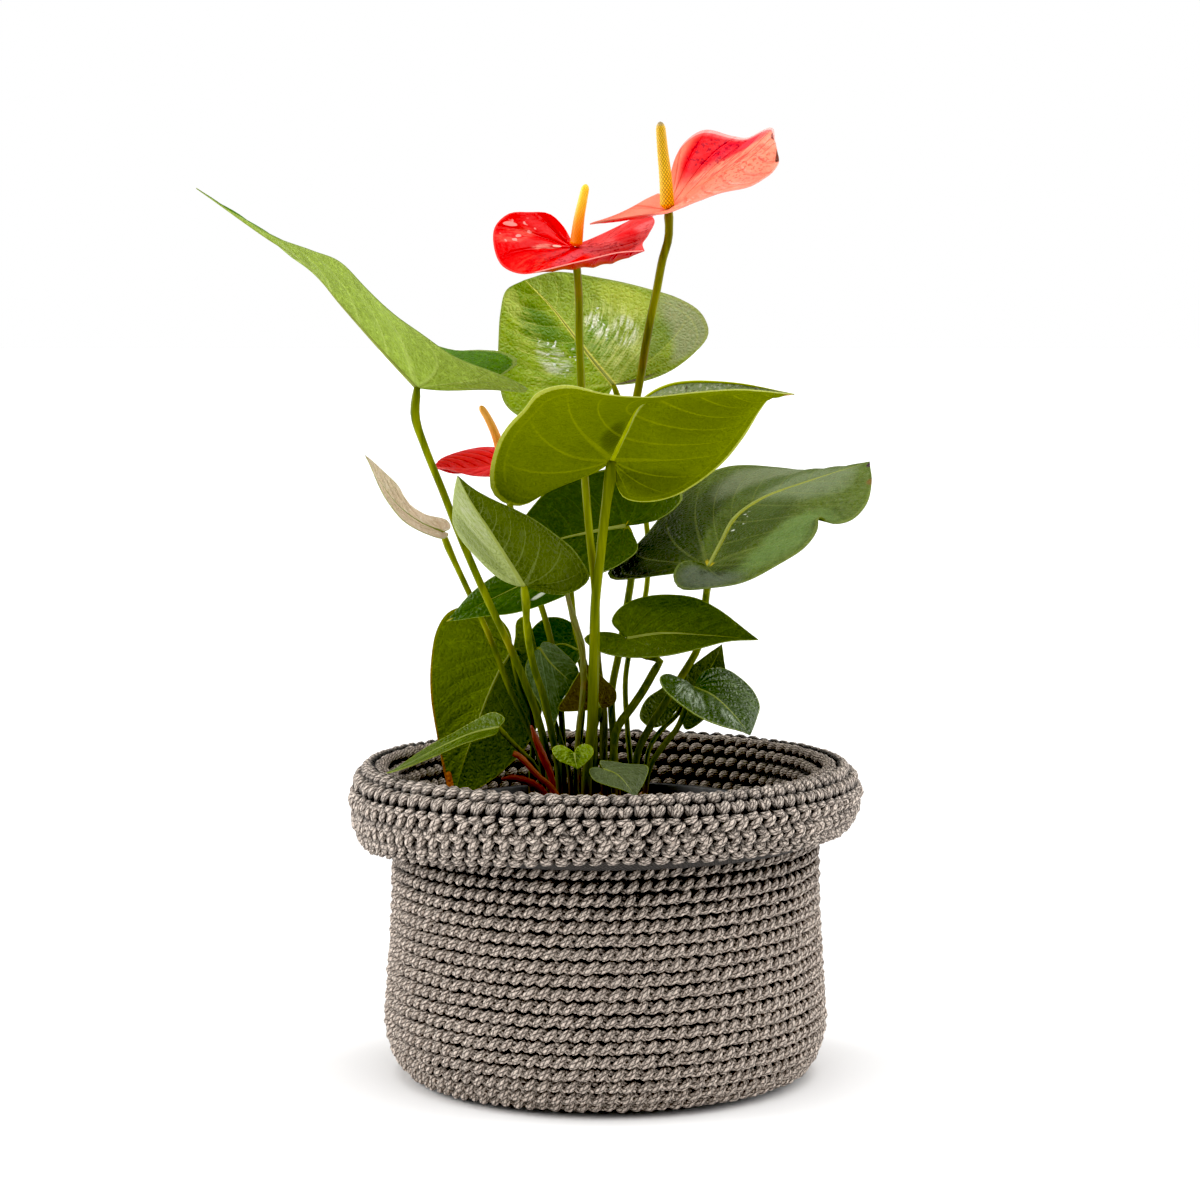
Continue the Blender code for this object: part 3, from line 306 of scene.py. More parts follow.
def unit(vectors):
    """The same directions, each one long."""
    return vectors / (np.linalg.norm(vectors, axis=-1, keepdims=True) + TINY)


def lengths_along(path):
    """How far along a path each of its points lies."""
    return np.concatenate([[0], np.cumsum(np.linalg.norm(np.diff(path, axis=0), axis=1))])


def smooth_path(points, count):
    """Reads count points, evenly spaced, from a centripetal Catmull-Rom curve through the points."""
    points = np.asarray(points, dtype=float)
    ends = np.vstack([2 * points[0] - points[1], points, 2 * points[-1] - points[-2]])
    knots = np.concatenate([[0], np.cumsum(np.sqrt(np.linalg.norm(np.diff(ends, axis=0), axis=1)))])
    fine = []
    for i in range(1, len(ends) - 2):
        t0, t1, t2, t3 = knots[i - 1:i + 3]
        p0, p1, p2, p3 = ends[i - 1:i + 3]
        t = np.linspace(t1, t2, PATH_SAMPLES, endpoint=False)[:, None]
        a1 = ((t1 - t) * p0 + (t - t0) * p1) / (t1 - t0)
        a2 = ((t2 - t) * p1 + (t - t1) * p2) / (t2 - t1)
        a3 = ((t3 - t) * p2 + (t - t2) * p3) / (t3 - t2)
        b1 = ((t2 - t) * a1 + (t - t0) * a2) / (t2 - t0)
        b2 = ((t3 - t) * a2 + (t - t1) * a3) / (t3 - t1)
        fine.append(((t2 - t) * b1 + (t - t1) * b2) / (t2 - t1))
    fine = np.vstack([*fine, points[-1:]])
    along = lengths_along(fine)
    steps = np.linspace(0, along[-1], count)
    return np.column_stack([np.interp(steps, along, fine[:, k]) for k in range(points.shape[1])])


class Shape:
    """Collects points, faces, texture places and material numbers, and makes one object of them."""

    def __init__(self):
        self.points = []
        self.buried = []
        self.groups = []
        self.count = 0

    def add(self, points, faces, places, slot=0, buried=0.0):
        """points (n, 3) in millimetres; faces (m, k); places (m, k, 2), one for each face corner.

        The last argument gives each point its share of painted shade, from 0 to 1, by how deep it lies in the
        piece's hollows.
        """
        self.points.append(np.asarray(points, dtype=float))
        self.buried.append(np.broadcast_to(buried, len(points)))
        self.groups.append((np.asarray(faces) + self.count, np.asarray(places, dtype=float), slot))
        self.count += len(points)

    def make(self, name, materials, weld=0, sharp=None):
        """Makes the object, rides it on the frame and returns it."""
        mesh = bpy.data.meshes.new(name)
        corners = np.concatenate([faces.ravel() for faces, _, _ in self.groups])
        sizes = np.concatenate([np.full(len(faces), faces.shape[1]) for faces, _, _ in self.groups])
        slots = np.concatenate([np.full(len(faces), slot) for faces, _, slot in self.groups])
        places = np.concatenate([places.reshape(-1, 2) for _, places, _ in self.groups])
        mesh.vertices.add(self.count)
        mesh.vertices.foreach_set("co", (np.vstack(self.points) * MM).astype(np.float32).ravel())
        mesh.loops.add(len(corners))
        mesh.loops.foreach_set("vertex_index", corners.astype(np.int32))
        mesh.polygons.add(len(sizes))
        starts = np.concatenate([[0], np.cumsum(sizes)[:-1]])
        mesh.polygons.foreach_set("loop_start", starts.astype(np.int32))
        mesh.polygons.foreach_set("material_index", slots.astype(np.int32))
        mesh.uv_layers.new(name="UVMap").data.foreach_set("uv", places.astype(np.float32).ravel())
        # Each point's share of painted shade goes to the materials as a mesh attribute
        painted_shades = np.concatenate(self.buried).astype(np.float32)
        if painted_shades.any():
            mesh.attributes.new("buried", "FLOAT", "POINT").data.foreach_set("value", painted_shades)
        mesh.update(calc_edges=True)
        if weld:
            work = bmesh.new()
            work.from_mesh(mesh)
            bmesh.ops.remove_doubles(work, verts=work.verts, dist=weld * MM)
            work.to_mesh(mesh)
            work.free()
        mesh.shade_smooth()
        if sharp:
            mesh.set_sharp_from_angle(angle=math.radians(sharp))
        for made in materials:
            mesh.materials.append(made)
        piece = bpy.data.objects.new(name, mesh)
        bpy.context.scene.collection.objects.link(piece)
        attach(piece, "root")
        return piece


def grid_faces(rows, columns):
    """Quads over a grid of points, row by row."""
    first = (np.arange(rows - 1)[:, None] * columns + np.arange(columns - 1)).ravel()
    return np.column_stack([first, first + 1, first + columns + 1, first + columns])


def tube(path, radii, sides, squash=1.0, caps=True):
    """A tube's points, faces and texture places: across its girth, then along it in millimetres."""
    path = np.asarray(path, dtype=float)
    tangents = unit(np.gradient(path, axis=0))
    side = np.cross(tangents[0], (0.3, 0.2, 1) if abs(tangents[0][2]) < 0.9 else (0.2, 1, 0.1))
    rings = []
    for point, tangent, radius in zip(path, tangents, radii):
        side = side - tangent * side.dot(tangent)
        side /= np.linalg.norm(side)
        up = np.cross(tangent, side)
        turn = np.linspace(0, math.tau, sides, endpoint=False)[:, None]
        rings.append(point + radius * (np.cos(turn) * side + squash * np.sin(turn) * up))
    along = lengths_along(path)
    ring, step = np.divmod(np.arange((len(path) - 1) * sides), sides)
    after = (step + 1) % sides
    faces = np.column_stack([ring * sides + step, ring * sides + after,
                             (ring + 1) * sides + after, (ring + 1) * sides + step])
    places = np.stack([
        np.column_stack([step / sides, along[ring]]),
        np.column_stack([(step + 1) / sides, along[ring]]),
        np.column_stack([(step + 1) / sides, along[ring + 1]]),
        np.column_stack([step / sides, along[ring + 1]]),
    ], axis=1)
    points = np.vstack(rings)
    if not caps:
        return points, faces, places
    middle = len(points)
    points = np.vstack([points, path[0], path[-1]])
    step = np.arange(sides)
    after = (step + 1) % sides
    last = (len(path) - 1) * sides
    foot = np.column_stack([np.full(sides, middle), after, step, step])
    head = np.column_stack([np.full(sides, middle + 1), last + step, last + after, last + after])
    around = np.column_stack([(step + 0.5) / sides, np.zeros(sides)])
    foot_places = np.repeat(around[:, None], 4, axis=1)
    head_places = foot_places + (0, along[-1])
    return points, np.vstack([faces, foot, head]), np.concatenate([places, foot_places, head_places])


def split_triangles(faces, places):
    """Parts true quads from faces whose last corner repeats."""
    flat = faces[:, 2] == faces[:, 3]
    return (faces[~flat], places[~flat]), (faces[flat][:, :3], places[flat][:, :3])


def add_tube(shape, path, radii, sides, slot=0):
    """Adds a capped tube to a shape."""
    points, faces, places = tube(path, radii, sides)
    quads, triangles = split_triangles(faces, places)
    start = shape.count
    shape.add(points, *quads, slot)
    shape.groups.append((triangles[0] + start, triangles[1], slot))


def wobble(points, size, seed):
    """Smooth noise between -1 and 1 at each point, with features of the given size."""
    shift = Vector((seed * 1.7, seed * 3.1, seed * 5.3))
    return np.array([noise.noise(Vector(p) / size + shift) for p in points])


def srgb(*levels):
    """A colour as a screen shows it, 0 to 255, made linear."""
    shares = [level / 255 for level in levels]
    return tuple(s / 12.92 if s <= 0.04045 else ((s + 0.055) / 1.055) ** 2.4 for s in shares)


class Look:
    """One Principled material, and short calls for the nodes that feed it."""

    def __init__(self, name):
        self.material = bpy.data.materials.new(name)
        self.material.use_nodes = True
        self.tree = self.material.node_tree
        self.shader = self.tree.nodes["Principled BSDF"]
        place = self.put("ShaderNodeTexCoord")
        self.spot = place.outputs["Object"]
        split = self.put("ShaderNodeSeparateXYZ", {0: place.outputs["UV"]})
        self.u, self.v = split.outputs[0], split.outputs[1]

    def put(self, kind, sockets=None, **settings):
        """Adds a node; a socket's value is a number, a colour or another node's output."""
        made = self.tree.nodes.new(kind)
        for key, value in settings.items():
            setattr(made, key, value)
        for key, value in (sockets or {}).items():
            if isinstance(value, bpy.types.NodeSocket):
                self.tree.links.new(value, made.inputs[key])
            else:
                made.inputs[key].default_value = value
        return made

    def math(self, operation, *values):
        return self.put("ShaderNodeMath", dict(enumerate(values)), operation=operation).outputs[0]

    def times(self, first, second):
        return self.math("MULTIPLY", first, second)

    def plus(self, first, second):
        return self.math("ADD", first, second)

    def minus(self, first, second):
        return self.math("SUBTRACT", first, second)

    def fade(self, value, start, end, low=0.0, high=1.0):
        """low at start, high at end, smooth between."""
        return self.put("ShaderNodeMapRange", {0: value, 1: start, 2: end, 3: low, 4: high},
                        interpolation_type="SMOOTHSTEP").outputs[0]

    def mix(self, share, first, second):
        """A colour from two, each a socket or a linear colour."""
        first, second = [c if isinstance(c, bpy.types.NodeSocket) else (*c, 1) for c in (first, second)]
        return self.put("ShaderNodeMix", {0: share, 6: first, 7: second}, data_type="RGBA").outputs[2]

    def join(self, x, y, z=0.0):
        """A vector from three numbers."""
        return self.put("ShaderNodeCombineXYZ", {0: x, 1: y, 2: z}).outputs[0]

    def noise(self, scale, detail=4, rough=0.55, at=None, shift=0.0, stretch=None):
        """Cloudy noise, 0 to 1, with the given features per metre of the object."""
        where = at or self.spot
        if stretch or shift:
            sockets = {0: where, 1: (shift,) * 3, 3: stretch or (1, 1, 1)}
            where = self.put("ShaderNodeMapping", sockets).outputs[0]
        return self.put("ShaderNodeTexNoise", {"Vector": where, "Scale": scale, "Detail": detail,
                                               "Roughness": rough}).outputs["Fac"]

    def cells(self, scale, shift):
        """Distance to the edge in a pattern of cells, with the given cells per metre."""
        where = self.put("ShaderNodeMapping", {0: self.spot, 1: (shift,) * 3}).outputs[0]
        return self.put("ShaderNodeTexVoronoi", {"Vector": where, "Scale": scale},
                        feature="DISTANCE_TO_EDGE").outputs["Distance"]

    def bands(self, across, along):
        """Two crossing sets of slanting bands: the place in a band of each, 0 to 0.5."""
        return [self.math("PINGPONG", self.math(way, across, along), 0.5) for way in ("ADD", "SUBTRACT")]

    def from_rib(self):
        """0 on a blade's rib and 1 at its margins."""
        return self.times(self.math("ABSOLUTE", self.minus(self.v, 0.5)), 2.0)

    def bump(self, height, depth, under=None):
        """Bump of the given depth in millimetres."""
        sockets = {"Height": height, "Distance": depth * MM, "Strength": 1.0}
        if under:
            sockets["Normal"] = under
        return self.put("ShaderNodeBump", sockets).outputs[0]

    def finish(self, colour, roughness, normal=None, **fixed):
        """Feeds the shader and returns the material."""
        for key, value in (("Base Color", colour), ("Roughness", roughness), ("Normal", normal)):
            if isinstance(value, bpy.types.NodeSocket):
                self.tree.links.new(value, self.shader.inputs[key])
            elif value is not None:
                self.shader.inputs[key].default_value = (*value, 1) if key == "Base Color" else value
        for key, value in fixed.items():
            self.shader.inputs[key.replace("_", " ").title().replace("Ior", "IOR")].default_value = value
        return self.material


# The edge of a patch: how the clouds fray it (scale and shift), and where it starts and ends
SOFT_EDGE = (1.2, -0.6), (0.25, 1.3)
CRISP_EDGE = (0.4, -0.2), (0.9, 1.05)


def patched(skin, colour, clouds, patches, grains):
    """Adds patches: place along and across, half sizes, colour, share, and grain or crisp edge of each."""
    for u, v, wide, high, tint, share, *grain in patches:
        fray, edge = CRISP_EDGE if grain == ["crisp"] else SOFT_EDGE
        reach, rise = (skin.math("POWER", skin.math("DIVIDE", skin.minus(place, middle), half), 2.0)
                       for place, middle, half in ((skin.u, u, wide), (skin.v, v, high)))
        spread = skin.plus(skin.plus(reach, rise), skin.math("MULTIPLY_ADD", clouds, *fray))
        mask = skin.fade(spread, *edge, share, 0.0)
        if grain and grain != ["crisp"]:
            mask = skin.times(mask, grains[grain[0]])
        colour = skin.mix(mask, colour, srgb(*tint))
    return colour


def leaf_look(name, look, face, veins, lobe_share, seed):
    """Leaf skin: veins, a fine net between them, clouds, a margin line and the leaf's own patches."""
    skin = Look(name)
    base = look[face]
    ground = srgb(*base)
    far = srgb(*look.get(face + "_far", base))
    vein = srgb(*look.get(face + "_vein", tuple(min(255, level * 1.2 + 14) for level in base)))
    from_rib = skin.from_rib()
    side = skin.fade(skin.v, 0.485, 0.515)
    beside = skin.math("PINGPONG", skin.times(skin.u, float(veins)), 0.5)
    fanned = skin.math("MAXIMUM", skin.math("MINIMUM", skin.times(from_rib, 1.4), 1.0),
                       skin.fade(skin.u, lobe_share - 0.01, lobe_share + 0.03))
    width = skin.math("MULTIPLY_ADD", from_rib, -0.03, 0.048)
    vein_mask = skin.fade(skin.math("DIVIDE", skin.times(beside, fanned), width), 0.5, 1.6, 1.0, 0.0)
    vein_mask = skin.times(vein_mask, skin.fade(from_rib, 0.7, 0.95, 1.0, 0.15))
    rib_mask = skin.fade(from_rib, 0.012, 0.04, 1.0, 0.0)
    line_mask = skin.fade(skin.math("ABSOLUTE", skin.minus(from_rib, 0.915)), 0.002, 0.012, 0.5, 0.0)
    clouds = skin.noise(34, 6, 0.72, shift=seed)
    fine = skin.noise(330, 5, 0.7, shift=seed)
    across = skin.join(skin.times(skin.u, veins * 6.0), skin.times(skin.v, 9.0), float(seed))
    streaks = skin.noise(1.0, 5, 0.65, at=across)
    grains = {"streak": skin.fade(streaks, 0.42, 0.62), "speck": skin.fade(skin.noise(620, 2), 0.56, 0.64),
              "drop": skin.fade(skin.noise(360, 1, shift=seed), 0.66, 0.7)}
    net = skin.cells(430, seed * 0.1)
    shade = srgb(*look.get("cloud", tuple(level * 0.72 for level in base)))
    fleck = srgb(*look.get("fleck", tuple(min(255, level * 1.3 + 14) for level in base)))
    if face + "_far" in look:
        shade = skin.mix(side, shade, tuple(level * 0.6 for level in far))
        fleck = skin.mix(side, fleck, tuple(min(1.0, level * 1.6 + 0.02) for level in far))
    shown = look[face + "_veins"]
    colour = skin.mix(side, ground, far)
    for share, tint in (
            (skin.fade(clouds, 0.35, 0.7, 0.0, look["mottle"]), shade),
            (skin.fade(streaks, 0.5, 0.75, 0.0, look["streaks"]), fleck),
            (skin.fade(streaks, 0.28, 0.5, look["streaks"], 0.0), shade),
            (skin.times(skin.fade(net, 0.02, 0.16, 1.0, 0.0), look["net"]), vein),
            (skin.fade(fine, 0.5, 0.72, 0.0, look["stipple"]), fleck),
            (skin.fade(fine, 0.28, 0.48, look["stipple"], 0.0), shade)):
        colour = skin.mix(share, colour, tint)
    colour = patched(skin, colour, clouds, look.get(face + "_patches", ()), grains)
    margin = skin.fade(skin.plus(from_rib, skin.times(clouds, 0.012)), 0.975, 0.99)
    for mask, share, tint in (
            (vein_mask, shown, vein), (line_mask, shown, vein), (rib_mask, 0.85, srgb(*look["rib"])),
            (margin, look["margin_share"], srgb(*look["margin"]))):
        colour = skin.mix(skin.times(mask, share), colour, tint)
    colour = patched(skin, colour, clouds, look.get(face + "_marks", ()), grains)
    upper = face == "upper"
    normal = skin.bump(skin.math("MULTIPLY_ADD", vein_mask, -0.8 if upper else 0.8, fine), 0.12)
    normal = skin.bump(net, 1.0, normal)
    shine = look["rough"] if upper else look["rough"] + 0.12
    rough = skin.fade(clouds, 0.3, 0.75, shine - 0.06, shine + 0.1)
    return skin.finish(colour, rough, normal, specular_ior_level=look["shine"] if upper else 0.08)


def stem_look(name, light, dark, seed):
    """Petiole or peduncle skin: streaks along it, painted shade low down, and a browner foot."""
    skin = Look(name)
    streak = skin.noise(160, 3, 0.6, shift=seed, stretch=(1, 1, 0.08))
    clouds = skin.noise(40, 4, 0.6, shift=seed)
    colour = skin.mix(skin.fade(streak, 0.35, 0.65), srgb(*light), srgb(*dark))
    colour = skin.mix(skin.fade(clouds, 0.55, 0.75, 0.0, 0.4), colour, srgb(150, 110, 50))
    height = skin.put("ShaderNodeSeparateXYZ", {0: skin.spot}).outputs[2]
    # Painted shade: darker from under the leaves down towards the soil
    colour = skin.mix(skin.fade(height, 0.15, 0.235, 0.7, 0.0), colour, srgb(58, 66, 14))
    colour = skin.mix(skin.fade(height, 0.134, 0.155, 0.5, 0.0), colour, srgb(96, 50, 24))
    return skin.finish(colour, 0.45, skin.bump(streak, 0.25), specular_ior_level=0.12)


def rib_look(name, colour):
    """The raised midrib under a blade."""
    skin = Look(name)
    streak = skin.noise(120, 3)
    tint = srgb(*colour)
    colour = skin.mix(skin.fade(streak, 0.35, 0.7, 0.0, 0.4), tint, tuple(level * 0.6 for level in tint))
    return skin.finish(colour, 0.5, skin.bump(streak, 0.15), specular_ior_level=0.1)


def spathe_look(name, look, face, veins):
    """Waxy spathe skin: deep veins, blotches, and the spathe's own patches."""
    skin = Look(name)
    clouds = skin.noise(45, 5, 0.6)
    fine = skin.noise(300, 3, 0.6)
    beside = skin.math("PINGPONG", skin.times(skin.u, float(veins)), 0.5)
    vein_mask = skin.fade(beside, 0.03, 0.12, 1.0, 0.0)
    far = look.get(face + "_far", look[face])
    colour = skin.mix(skin.fade(skin.v, 0.42, 0.58), srgb(*look[face]), srgb(*far))
    colour = skin.mix(skin.fade(clouds, 0.4, 0.7, 0.0, 0.5), colour, srgb(*look["cloud"]))
    colour = skin.mix(skin.fade(fine, 0.5, 0.75, 0.0, 0.25), colour, srgb(*look["fleck"]))
    colour = skin.mix(skin.times(vein_mask, look["veins"]), colour, srgb(*look["vein"]))
    across = skin.join(skin.times(skin.u, veins * 5.0), skin.times(skin.v, 9.0))
    streaks = skin.noise(1.0, 4, 0.65, at=across)
    grains = {"streak": skin.fade(streaks, 0.45, 0.6), "speck": skin.fade(skin.noise(520, 2), 0.54, 0.62),
              "drop": skin.fade(skin.noise(260, 1), 0.62, 0.66)}
    colour = patched(skin, colour, clouds, look.get(face + "_patches", ()), grains)
    margin = skin.fade(skin.from_rib(), 0.98, 0.995, 0.0, 0.6 if face == "upper" else 0.0)
    colour = skin.mix(margin, colour, srgb(*look["margin"]))
    colour = patched(skin, colour, clouds, look.get(face + "_marks", ()), grains)
    normal = skin.bump(skin.math("MULTIPLY_ADD", vein_mask, -1.0, fine), 0.35)
    return skin.finish(colour, 0.26, normal, specular_ior_level=0.14, subsurface_weight=0.15,
                       subsurface_scale=0.002, subsurface_radius=(1.0, 0.3, 0.25))


# The cord's plait: how many plaits go round a strand, and the length of one
PLAITS_ROUND = 5.0
PLAIT_LENGTH = 4.0


def cord_look(name, light, shade, hollow_shade):
    """Braided cotton cord: plaits that wind round the strand, with fuzz, and painted shade where it lies deep
    in hollows or under the collar.
    """
    skin = Look(name)
    left, right = skin.bands(skin.times(skin.u, PLAITS_ROUND), skin.math("DIVIDE", skin.v, PLAIT_LENGTH))
    plait = skin.times(skin.fade(left, 0.03, 0.24), skin.fade(right, 0.03, 0.24))
    fuzz = skin.noise(1300, 3, 0.7)
    fleck = skin.noise(2000, 2, 0.5, shift=3.0)
    soil = skin.noise(190, 3, 0.6)
    colour = skin.mix(skin.fade(plait, 0.0, 0.75), srgb(*shade), srgb(*light))
    colour = skin.mix(skin.fade(fuzz, 0.36, 0.52, 0.8, 0.0), colour, srgb(*shade))
    bright, worn = (srgb(*(min(255, level * share) for level in light)) for share in (1.15, 0.66))
    colour = skin.mix(skin.fade(fleck, 0.55, 0.68, 0.0, 0.8), colour, bright)
    colour = skin.mix(skin.fade(soil, 0.3, 0.65, 0.35, 0.0), colour, worn)
    # Painted shade: the cord darkens towards its hollow colour where it lies deep in hollows or in the
    # collar's shadow
    buried = skin.put("ShaderNodeAttribute", attribute_name="buried").outputs["Fac"]
    colour = skin.mix(skin.fade(buried, 0.15, 0.95), colour, srgb(*hollow_shade))
    normal = skin.bump(skin.plus(plait, skin.times(fuzz, 0.35)), 0.6)
    return skin.finish(colour, 0.8, normal, sheen_weight=0.1, sheen_roughness=0.5, specular_ior_level=0.3)


# Blades: how finely they settle and are divided, the lie of their veins, and the size of their ripples
SETTLE_ROUNDS = 700
BELLY_REACH = 25
FINE = 6
RINGS = 13
RING_POWER = 1.15
ROWS_A_VEIN = 9
BLADE_THICKNESS = 0.5
SPATHE_THICKNESS = 0.6
CREASE_ANGLE = 55
VEIN_SWEEP = 0.13
VEIN_WIDTH = 0.14
VEIN_DEPTH = 0.35
RIPPLE_SIZE = 22
LEAF_RIPPLE = 0.7
SPATHE_RIPPLE = 0.5
# For a rib over each length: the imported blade's lobe steps, rib steps and rings, and the veins of its lobe
# and rib
BLADE_COUNTS = [(70, (7, 8, 3, 4, 7)), (30, (6, 6, 2, 4, 6)), (0, (4, 4, 2, 2, 3))]
# Stems: the length of a step, the heights over the soil between which they stand upright, and their sides
STEM_STEP = 4
STEM_UPRIGHT = 4, -1
PETIOLE_SIDES = 14
RIB_SIDES = 10
STALK_SIDES = 16
# The upper face of a blade is the one that looks up and out at the viewer rather than down and back
UPPER_SIDE = (0, -0.6, 0.8)
PETIOLE_COLOURS = (136, 142, 22), (82, 94, 12)


def settled_half(rib, margin, lobe_rows, rings, belly, side):
    """The points of one half, row by row from the sinus to the tip, each row from the rib to the margin."""
    edge = smooth_path(np.vstack([rib[:1], margin, rib[-1:]]), lobe_rows + len(rib))
    feet = rib[np.maximum(np.arange(len(edge)) - lobe_rows, 0)]
    share = np.linspace(0, 1, rings + 1)[None, :, None]
    grid = feet[:, None] * (1 - share) + edge[:, None] * share
    for _ in range(SETTLE_ROUNDS):
        beside = grid[:-2, 1:-1] + grid[2:, 1:-1]
        across = grid[1:-1, :-2] + grid[1:-1, 2:]
        grid[1:-1, 1:-1] = (beside + across) / 4
    reach = np.linalg.norm(edge - feet, axis=1)[:, None, None]
    lift = belly * np.minimum(1, reach / BELLY_REACH) * 4 * share * (1 - share)
    return grid + upward(grid, side) * lift


def upward(grid, side):
    """Unit normals of a half blade's grid, on its upper face."""
    return unit(np.cross(np.gradient(grid, axis=1), np.gradient(grid, axis=0)) * side)


def read_grid(grid, rows, rings):
    """Points of a grid at fractional rows and rings."""
    rows = np.clip(rows, 0, grid.shape[0] - 1.001)
    rings = np.clip(rings, 0, grid.shape[1] - 1.001)
    row, ring = rows.astype(int), rings.astype(int)
    down, over = (rows - row)[..., None], (rings - ring)[..., None]
    first = grid[row, ring] * (1 - down) + grid[row + 1, ring] * down
    second = grid[row, ring + 1] * (1 - down) + grid[row + 1, ring + 1] * down
    return first * (1 - over) + second * over


def blade_counts(shape):
    """The counts of a blade, by the length of its rib."""
    length = lengths_along(from_sheet(shape["rib"]))[-1]
    return next(counts for least, counts in BLADE_COUNTS if length > least)


def add_blade(sheet, shape, sunk, puff, wave, seed):
    """Adds a blade as one open sheet, its upper face outward, and returns its rib.

    Its places run from the sinus to the tip, and from the near margin at 0 over the rib to the far one at 1.
    Between them lie the veins: each is sunk, and the ground between two of them is puffed up.
    """
    lobes, ribs, rings, lobe_veins, rib_veins = blade_counts(shape)
    rib = smooth_path(from_sheet(shape["rib"]), ribs * FINE + 1)
    veins = lobe_veins + rib_veins
    rows = veins * ROWS_A_VEIN
    phase = np.arange(rows + 1) / ROWS_A_VEIN
    fold = lobes / (lobes + ribs)
    along = np.where(phase < lobe_veins, phase / lobe_veins * fold,
                     fold + (phase - lobe_veins) / rib_veins * (1 - fold))[:, None]
    out = ((np.arange(RINGS + 1) / RINGS) ** RING_POWER)[None, :]
    swept = along + VEIN_SWEEP * 4 * along * (1 - along) * out ** 2
    beside = np.abs(phase - np.round(phase))[:, None]
    ends = np.clip(np.minimum(phase, veins - phase), 0, 1)[:, None]
    relief = puff * (0.5 - 0.5 * np.cos(math.tau * phase))[:, None] * 4 * out * (1 - out)
    relief = (relief - sunk * np.exp(-(beside / VEIN_WIDTH) ** 2) * (1 - out)) * ends
    halves = [(side, settled_half(rib, from_sheet(shape[key]), lobes * FINE, rings * FINE, belly, side))
              for key, side, belly in zip(("near", "far"), (1, -1), shape["belly"])]
    lean = sum(upward(grid, side).reshape(-1, 3).mean(axis=0) for side, grid in halves) @ UPPER_SIDE
    facing = 1 if lean > 0 else -1
    for side, grid in halves:
        points = read_grid(grid, swept * (lobes + ribs) * FINE, out * rings * FINE * np.ones_like(swept))
        ripple = wobble(points.reshape(-1, 3), RIPPLE_SIZE, seed).reshape(relief.shape)
        clear = np.clip(3 * np.linalg.norm(points - points[:, :1], axis=2) / BELLY_REACH, 0, 1)
        points = points + upward(points, side * facing) * (clear * (relief + wave * ripple * out))[:, :, None]
        faces = grid_faces(rows + 1, RINGS + 1)
        places = np.stack(np.broadcast_arrays((phase / veins)[:, None], 0.5 - side * out / 2), axis=2)
        places = places.reshape(-1, 2)[faces]
        sheet.add(points.reshape(-1, 3), faces[:, ::side * facing], places[:, ::side * facing])
    return rib


def stem_path(top, points, root):
    """The path from a leaf or bloom down to the foot of its stem in the soil."""
    upper = from_sheet([top, *points])
    route = np.vstack([upper, [(*root, SOIL_LEVEL + height) for height in STEM_UPRIGHT]])
    path = smooth_path(route, max(4, round(lengths_along(route)[-1] / STEM_STEP)))
    return np.vstack([path, [(*root, SOIL_LEVEL - STEM_DEPTH)]])


def thickened(piece, thickness):
    """Gives an open sheet its thickness, with its second material on the lower face."""
    solid = piece.modifiers.new("thickness", "SOLIDIFY")
    solid.thickness = thickness * MM
    solid.offset = 0
    solid.material_offset = 1
    bpy.context.view_layer.update()
    mesh = bpy.data.meshes.new_from_object(piece.evaluated_get(bpy.context.evaluated_depsgraph_get()))
    piece.modifiers.clear()
    piece.data = mesh
    mesh.set_sharp_from_angle(angle=math.radians(CREASE_ANGLE))


def join_pieces(piece, other):
    """Joins another piece into the first, with its materials."""
    with bpy.context.temp_override(active_object=piece, selected_editable_objects=[piece, other]):
        bpy.ops.object.join()


def make_leaf(name, leaf, look):
    """One leaf: its blade, the midrib that stands proud under it, and its petiole."""
    seed = list(LEAVES).index(name) + 1
    _, ribs, _, lobe_veins, rib_veins = blade_counts(leaf)
    small = min(1, ribs / 8)
    sheet = Shape()
    rib = add_blade(sheet, leaf, VEIN_DEPTH * small, look["puff"] * small, LEAF_RIPPLE, seed)
    veins = lobe_veins + rib_veins
    faces = [leaf_look(f"{name}_{face}", look, face, veins, lobe_veins / veins, seed)
             for face in ("upper", "lower")]
    piece = sheet.make(name + "_fine", faces, weld=WELD)
    thickened(piece, BLADE_THICKNESS)
    stems = Shape()
    path = stem_path(leaf["rib"][0], leaf["petiole"], leaf["root"])
    along = np.linspace(0, 1, len(path))
    # Swollen at the joint under the blade and towards the foot
    swell = 1 + 0.25 * np.exp(-((along - 0.05) / 0.04) ** 2) + 0.3 * np.clip(along * 5 - 4, 0, 1)
    swell[0] *= 0.8
    add_tube(stems, path, leaf["radius"] * swell, PETIOLE_SIDES)
    add_tube(stems, rib, leaf["radius"] * np.linspace(0.6, 0.1, len(rib)), RIB_SIDES, slot=1)
    stem = stems.make(name + "_stem", [stem_look(name + "_petiole", *PETIOLE_COLOURS, seed),
                                       rib_look(name + "_rib", look["under_rib"])])
    join_pieces(piece, stem)
    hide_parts(name)


# Blooms: the spadix and its florets, and how far the foot of each stem and spadix is set down
SPADIX_SIDES = 48
SPADIX_RINGS = 96
FLORET_PITCH = 1.25
FLORET_STRETCH = 1.7
FLORETS_AROUND = 12
PEDUNCLE_DROP = 0.9
SPADIX_FOOT_DROP = 1.6
SPATHE_SEED = 31
PEDUNCLE_SEED = 40


def make_spathe(name, bloom, look):
    """The waxy spathe with its puckered veins."""
    sheet = Shape()
    add_blade(sheet, bloom, look["sunk"], look["puff"], SPATHE_RIPPLE, SPATHE_SEED)
    veins = sum(blade_counts(bloom)[3:])
    faces = [spathe_look(f"{name}_{face}", look, face, veins) for face in ("upper", "lower")]
    piece = sheet.make(name + "_fine", faces, weld=WELD)
    thickened(piece, SPATHE_THICKNESS)
    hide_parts(name)


